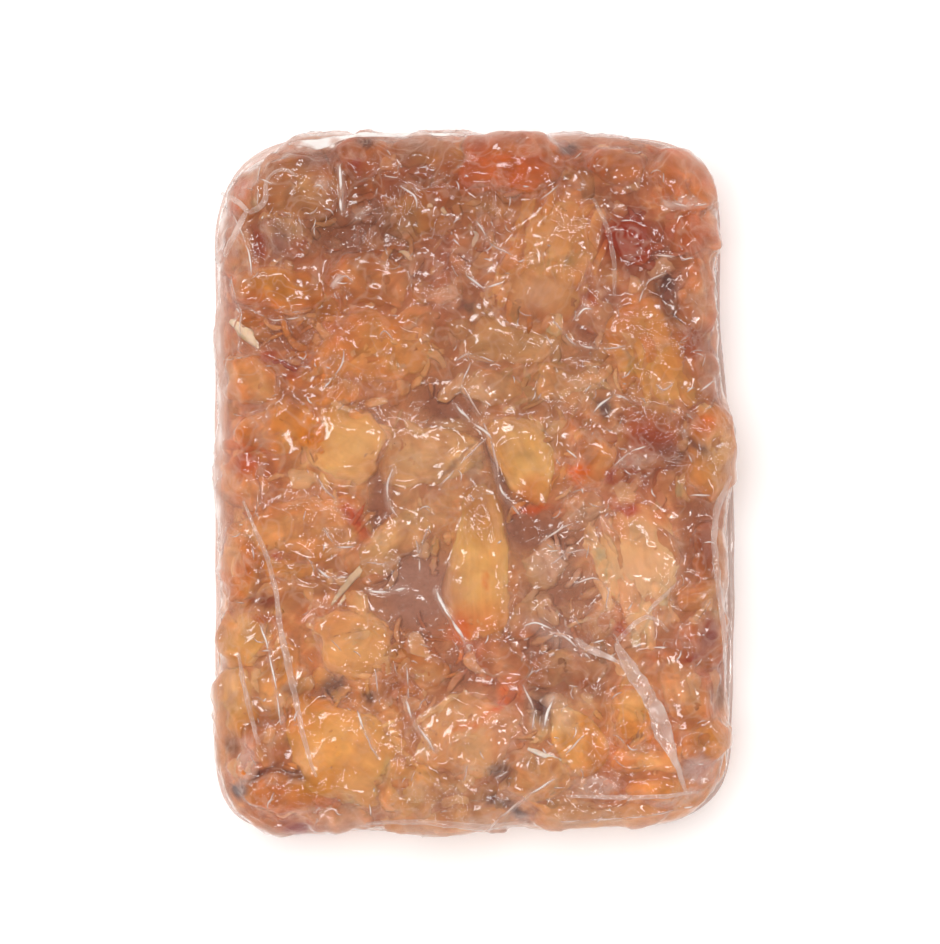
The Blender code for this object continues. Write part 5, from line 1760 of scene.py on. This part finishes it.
def clear_pouch_film():
    """Clear nylon and polyethylene pouch film, drawn tight: sharp small glints, milky where it is folded."""
    material, tree, out = new_material("clear_pouch_film")
    haze = add(tree, "ShaderNodeAttribute", attribute_name="haze")
    place = add(tree, "ShaderNodeTexCoord")
    crinkle = add(tree, "ShaderNodeAttribute", attribute_name="crinkle")
    heights = []
    # gentle waves every 3.4 mm and 1.5 mm, the second a fifth as deep
    for spacing, depth in ((3.4, 1.0), (1.5, 0.2)):
        wave = add(tree, "ShaderNodeTexNoise", {
            "Vector": place.outputs["Object"], "Scale": 1 / (spacing * MM), "Detail": 1.0,
            "Roughness": 0.4, "Distortion": 1.5})
        heights.append(add(tree, "ShaderNodeMath", {0: wave.outputs["Fac"], 1: depth}, operation="MULTIPLY"))
    both = add(tree, "ShaderNodeMath", {0: heights[0].outputs[0], 1: heights[1].outputs[0]}, operation="ADD")
    creased = add(tree, "ShaderNodeMath", {0: both.outputs[0], 1: crinkle.outputs["Fac"]},
                  operation="MULTIPLY")
    bump = add(tree, "ShaderNodeBump", {"Height": creased.outputs[0], "Strength": 1.0, "Distance": 0.0009})
    # the share that mirrors: 5 % head on and all of it at a grazing angle
    facing = add(tree, "ShaderNodeLayerWeight", {"Blend": 0.5, "Normal": bump.outputs[0]})
    steep = add(tree, "ShaderNodeMath", {0: facing.outputs["Facing"], 1: 5.0}, operation="POWER")
    edge = add(tree, "ShaderNodeMath", {0: steep.outputs[0], 1: 0.95, 2: 0.05}, operation="MULTIPLY_ADD")
    clear = add(tree, "ShaderNodeBsdfTransparent", {"Color": (1, 1, 1, 1)})
    gloss = add(tree, "ShaderNodeBsdfGlossy", {"Color": (1, 1, 1, 1), "Roughness": 0.14,
                                               "Normal": bump.outputs[0]})
    # juice tints the thin veils, and the thickest folds are white, as are the crease strokes, whose white is
    # a painted glint
    folded = add(tree, "ShaderNodeMapRange", {"Value": haze.outputs["Fac"], 1: 0.55, 2: 0.9, 3: 0.0, 4: 1.0})
    milky = add(tree, "ShaderNodeMix", {0: folded.outputs[0], 6: hex_rgba("#DEBBAC"), 7: hex_rgba("#FFF4EE")},
                data_type="RGBA")
    milk = add(tree, "ShaderNodeBsdfDiffuse", {"Color": milky.outputs[2]})
    hazy = add(tree, "ShaderNodeMixShader", {0: haze.outputs["Fac"], 1: clear.outputs[0], 2: milk.outputs[0]})
    film = add(tree, "ShaderNodeMixShader", {0: edge.outputs[0], 1: hazy.outputs[0], 2: gloss.outputs[0]})
    tree.links.new(film.outputs[0], out.inputs["Surface"])
    return material


def white_table():
    """A white laminate sweep, evenly lit."""
    material, tree, out = new_material("white_table")
    place = add(tree, "ShaderNodeTexCoord")
    grain = add(tree, "ShaderNodeTexNoise", {"Vector": place.outputs["Object"], "Scale": 6.0})
    colour = add(tree, "ShaderNodeMix", {0: grain.outputs["Fac"], 6: hex_rgba("#FEFDFC"),
                                         7: hex_rgba("#FDFCFB")}, data_type="RGBA")
    shader = add(tree, "ShaderNodeBsdfPrincipled", {"Base Color": colour.outputs[2], "Roughness": 0.7,
                                                    "Emission Color": hex_rgba("#FFFDFB"),
                                                    "Emission Strength": 0.3})
    tree.links.new(shader.outputs[0], out.inputs["Surface"])
    return material

# ---------------------------------------------------------------- the camera, the table and the light


def place_camera():
    """The camera straight above, far off with a long lens, as the photograph was taken."""
    lens, sensor = 150.0, 36.0
    view_width = 206.8  # what the picture takes in at the height of the top face
    top_face = 26.0
    data = bpy.data.cameras.new("camera")
    data.lens = lens
    data.sensor_fit = "HORIZONTAL"
    data.sensor_width = sensor
    data.clip_end = 20.0
    camera = bpy.data.objects.new("camera", data)
    bpy.context.scene.collection.objects.link(camera)
    camera.location = ((-1.1 - MIDDLE[0]) * MM, (2.86 - MIDDLE[1]) * MM,
                       (top_face + view_width * lens / sensor) * MM)
    bpy.context.scene.camera = camera


def lay_table():
    """The white table that the pack lies on."""
    select_only()
    bpy.ops.mesh.primitive_plane_add(size=6.0)
    table = bpy.context.object
    table.name = "table"
    table.data.materials.append(white_table())


def area_light(name, place, aim, size, power):
    """A soft rectangular light at a place in metres, turned to face a point."""
    data = bpy.data.lights.new(name, "AREA")
    data.shape = "RECTANGLE"
    data.size, data.size_y = size
    data.energy = power
    light = bpy.data.objects.new(name, data)
    light.location = place
    light.rotation_euler = (Vector(aim) - Vector(place)).to_track_quat("-Z", "Y").to_euler()
    bpy.context.scene.collection.objects.link(light)
    return light


def light_studio():
    """One soft box that lights the meat, and small strips that only give the film its glints."""
    softbox = area_light("overhead_softbox", (-0.25, 0.2, 1.4), (0, 0, 0), (0.9, 0.7), 13.0)
    softbox.visible_glossy = False
    for name, (azimuth, elevation, size, power) in GLINTS.items():
        turn, rise = math.radians(azimuth), math.radians(elevation)
        place = Vector((math.cos(turn) * math.cos(rise), math.sin(turn) * math.cos(rise), math.sin(rise)))
        strip = area_light(name, place, (0, 0, 0.02), size, power)
        strip.visible_diffuse = False


def white_room():
    """White walls that light the slab from all sides, and a dim ceiling that leaves the level film clear."""
    world = bpy.data.worlds.new("studio")
    world.use_nodes = True
    room = world.node_tree
    direction = add(room, "ShaderNodeTexCoord")
    upward = add(room, "ShaderNodeSeparateXYZ", {0: direction.outputs["Generated"]})
    walls_to_ceiling = add(room, "ShaderNodeMapRange", {"Value": upward.outputs["Z"], 1: 0.35, 2: 0.80,
                                                        3: 1.0, 4: 0.10}, interpolation_type="SMOOTHSTEP")
    room.nodes["Background"].inputs["Color"].default_value = hex_rgba("#FFFFFF")
    room.links.new(walls_to_ceiling.outputs[0], room.nodes["Background"].inputs["Strength"])
    bpy.context.scene.world = world
    bpy.context.scene.view_settings.view_transform = "Standard"


# ---------------------------------------------------------------- the build

place_camera()
lay_table()
light_studio()
white_room()

MEAT = cooked_crab_meat("cooked_crab_meat", 0.003)
# light leaves the thin shreds sooner, or they would lose their red
SHREDDED = cooked_crab_meat("shredded_crab_meat", 0.0005)
JUICE = frozen_crab_juice()
FILM = clear_pouch_film()

# The pieces of meat, in the order of their random draws
claws = top_meat("claw", CLAWS)
legs = top_meat("leg", LEGS)
lumps = top_meat("lump", LUMPS)
bundles = torn_bundles()
walls = wall_pieces()
feet = foot_pieces()
large_flakes = loose_flakes()
core = packed_core()
meat_kinds = [core, claws, legs, lumps, bundles, walls, feet, large_flakes]
for piece in meat_kinds:
    finish_surface(piece, SHREDDED if piece in (bundles, large_flakes) else MEAT)
    if "mottle" not in piece.data.attributes:
        give_level(piece, "mottle", 0.8)

# The film over them, the meat picked fine just under it, and the juice
wrapped = [copy_of(piece, "wrapped") for piece in (claws, legs, lumps, bundles, walls, feet, large_flakes)]
wrapped.append(slab_body("wrapped_juice", FILM_GAP, FILM_GAP))
film = tight_film(wrapped)
meat_kinds.append(picked_meat(film))
tight_tree = tree_of(film)
stand_off(film)
meat_kinds.append(fine_shreds(430, tight_tree))
air_bubbles = bubbles(420, tight_tree)
juice = frozen_juice(film, meat_kinds)

# The finish of the film
wrinkle_film(film)
back_film = split_film(film)
film_tree = tree_of(film)
for piece in meat_kinds:
    tuck_under(piece, film_tree)
creases = creases_painted_as_glints(film_tree)
hem = make_hem()
gussets = joined("gusset_film", [make_gusset(n, *row) for n, row in enumerate(GUSSETS)])
folds = joined("film_folds", [make_fold(n, *row, film_tree) for n, row in enumerate(FOLDS)])

shown = meat_kinds + [air_bubbles, juice, film, back_film, hem, gussets, folds, creases]
for piece in shown:
    points = np.clip(points_of(piece), LOW + 0.02, HIGH - 0.02)
    points[:, :2] -= MIDDLE
    set_points(piece, points)
    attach(piece, "root")
for piece in (film, back_film, hem, gussets, folds, creases):
    piece.visible_shadow = False
    piece.visible_diffuse = False
for piece in (juice, air_bubbles):
    piece.visible_shadow = False
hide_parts("crab_meat_pack")
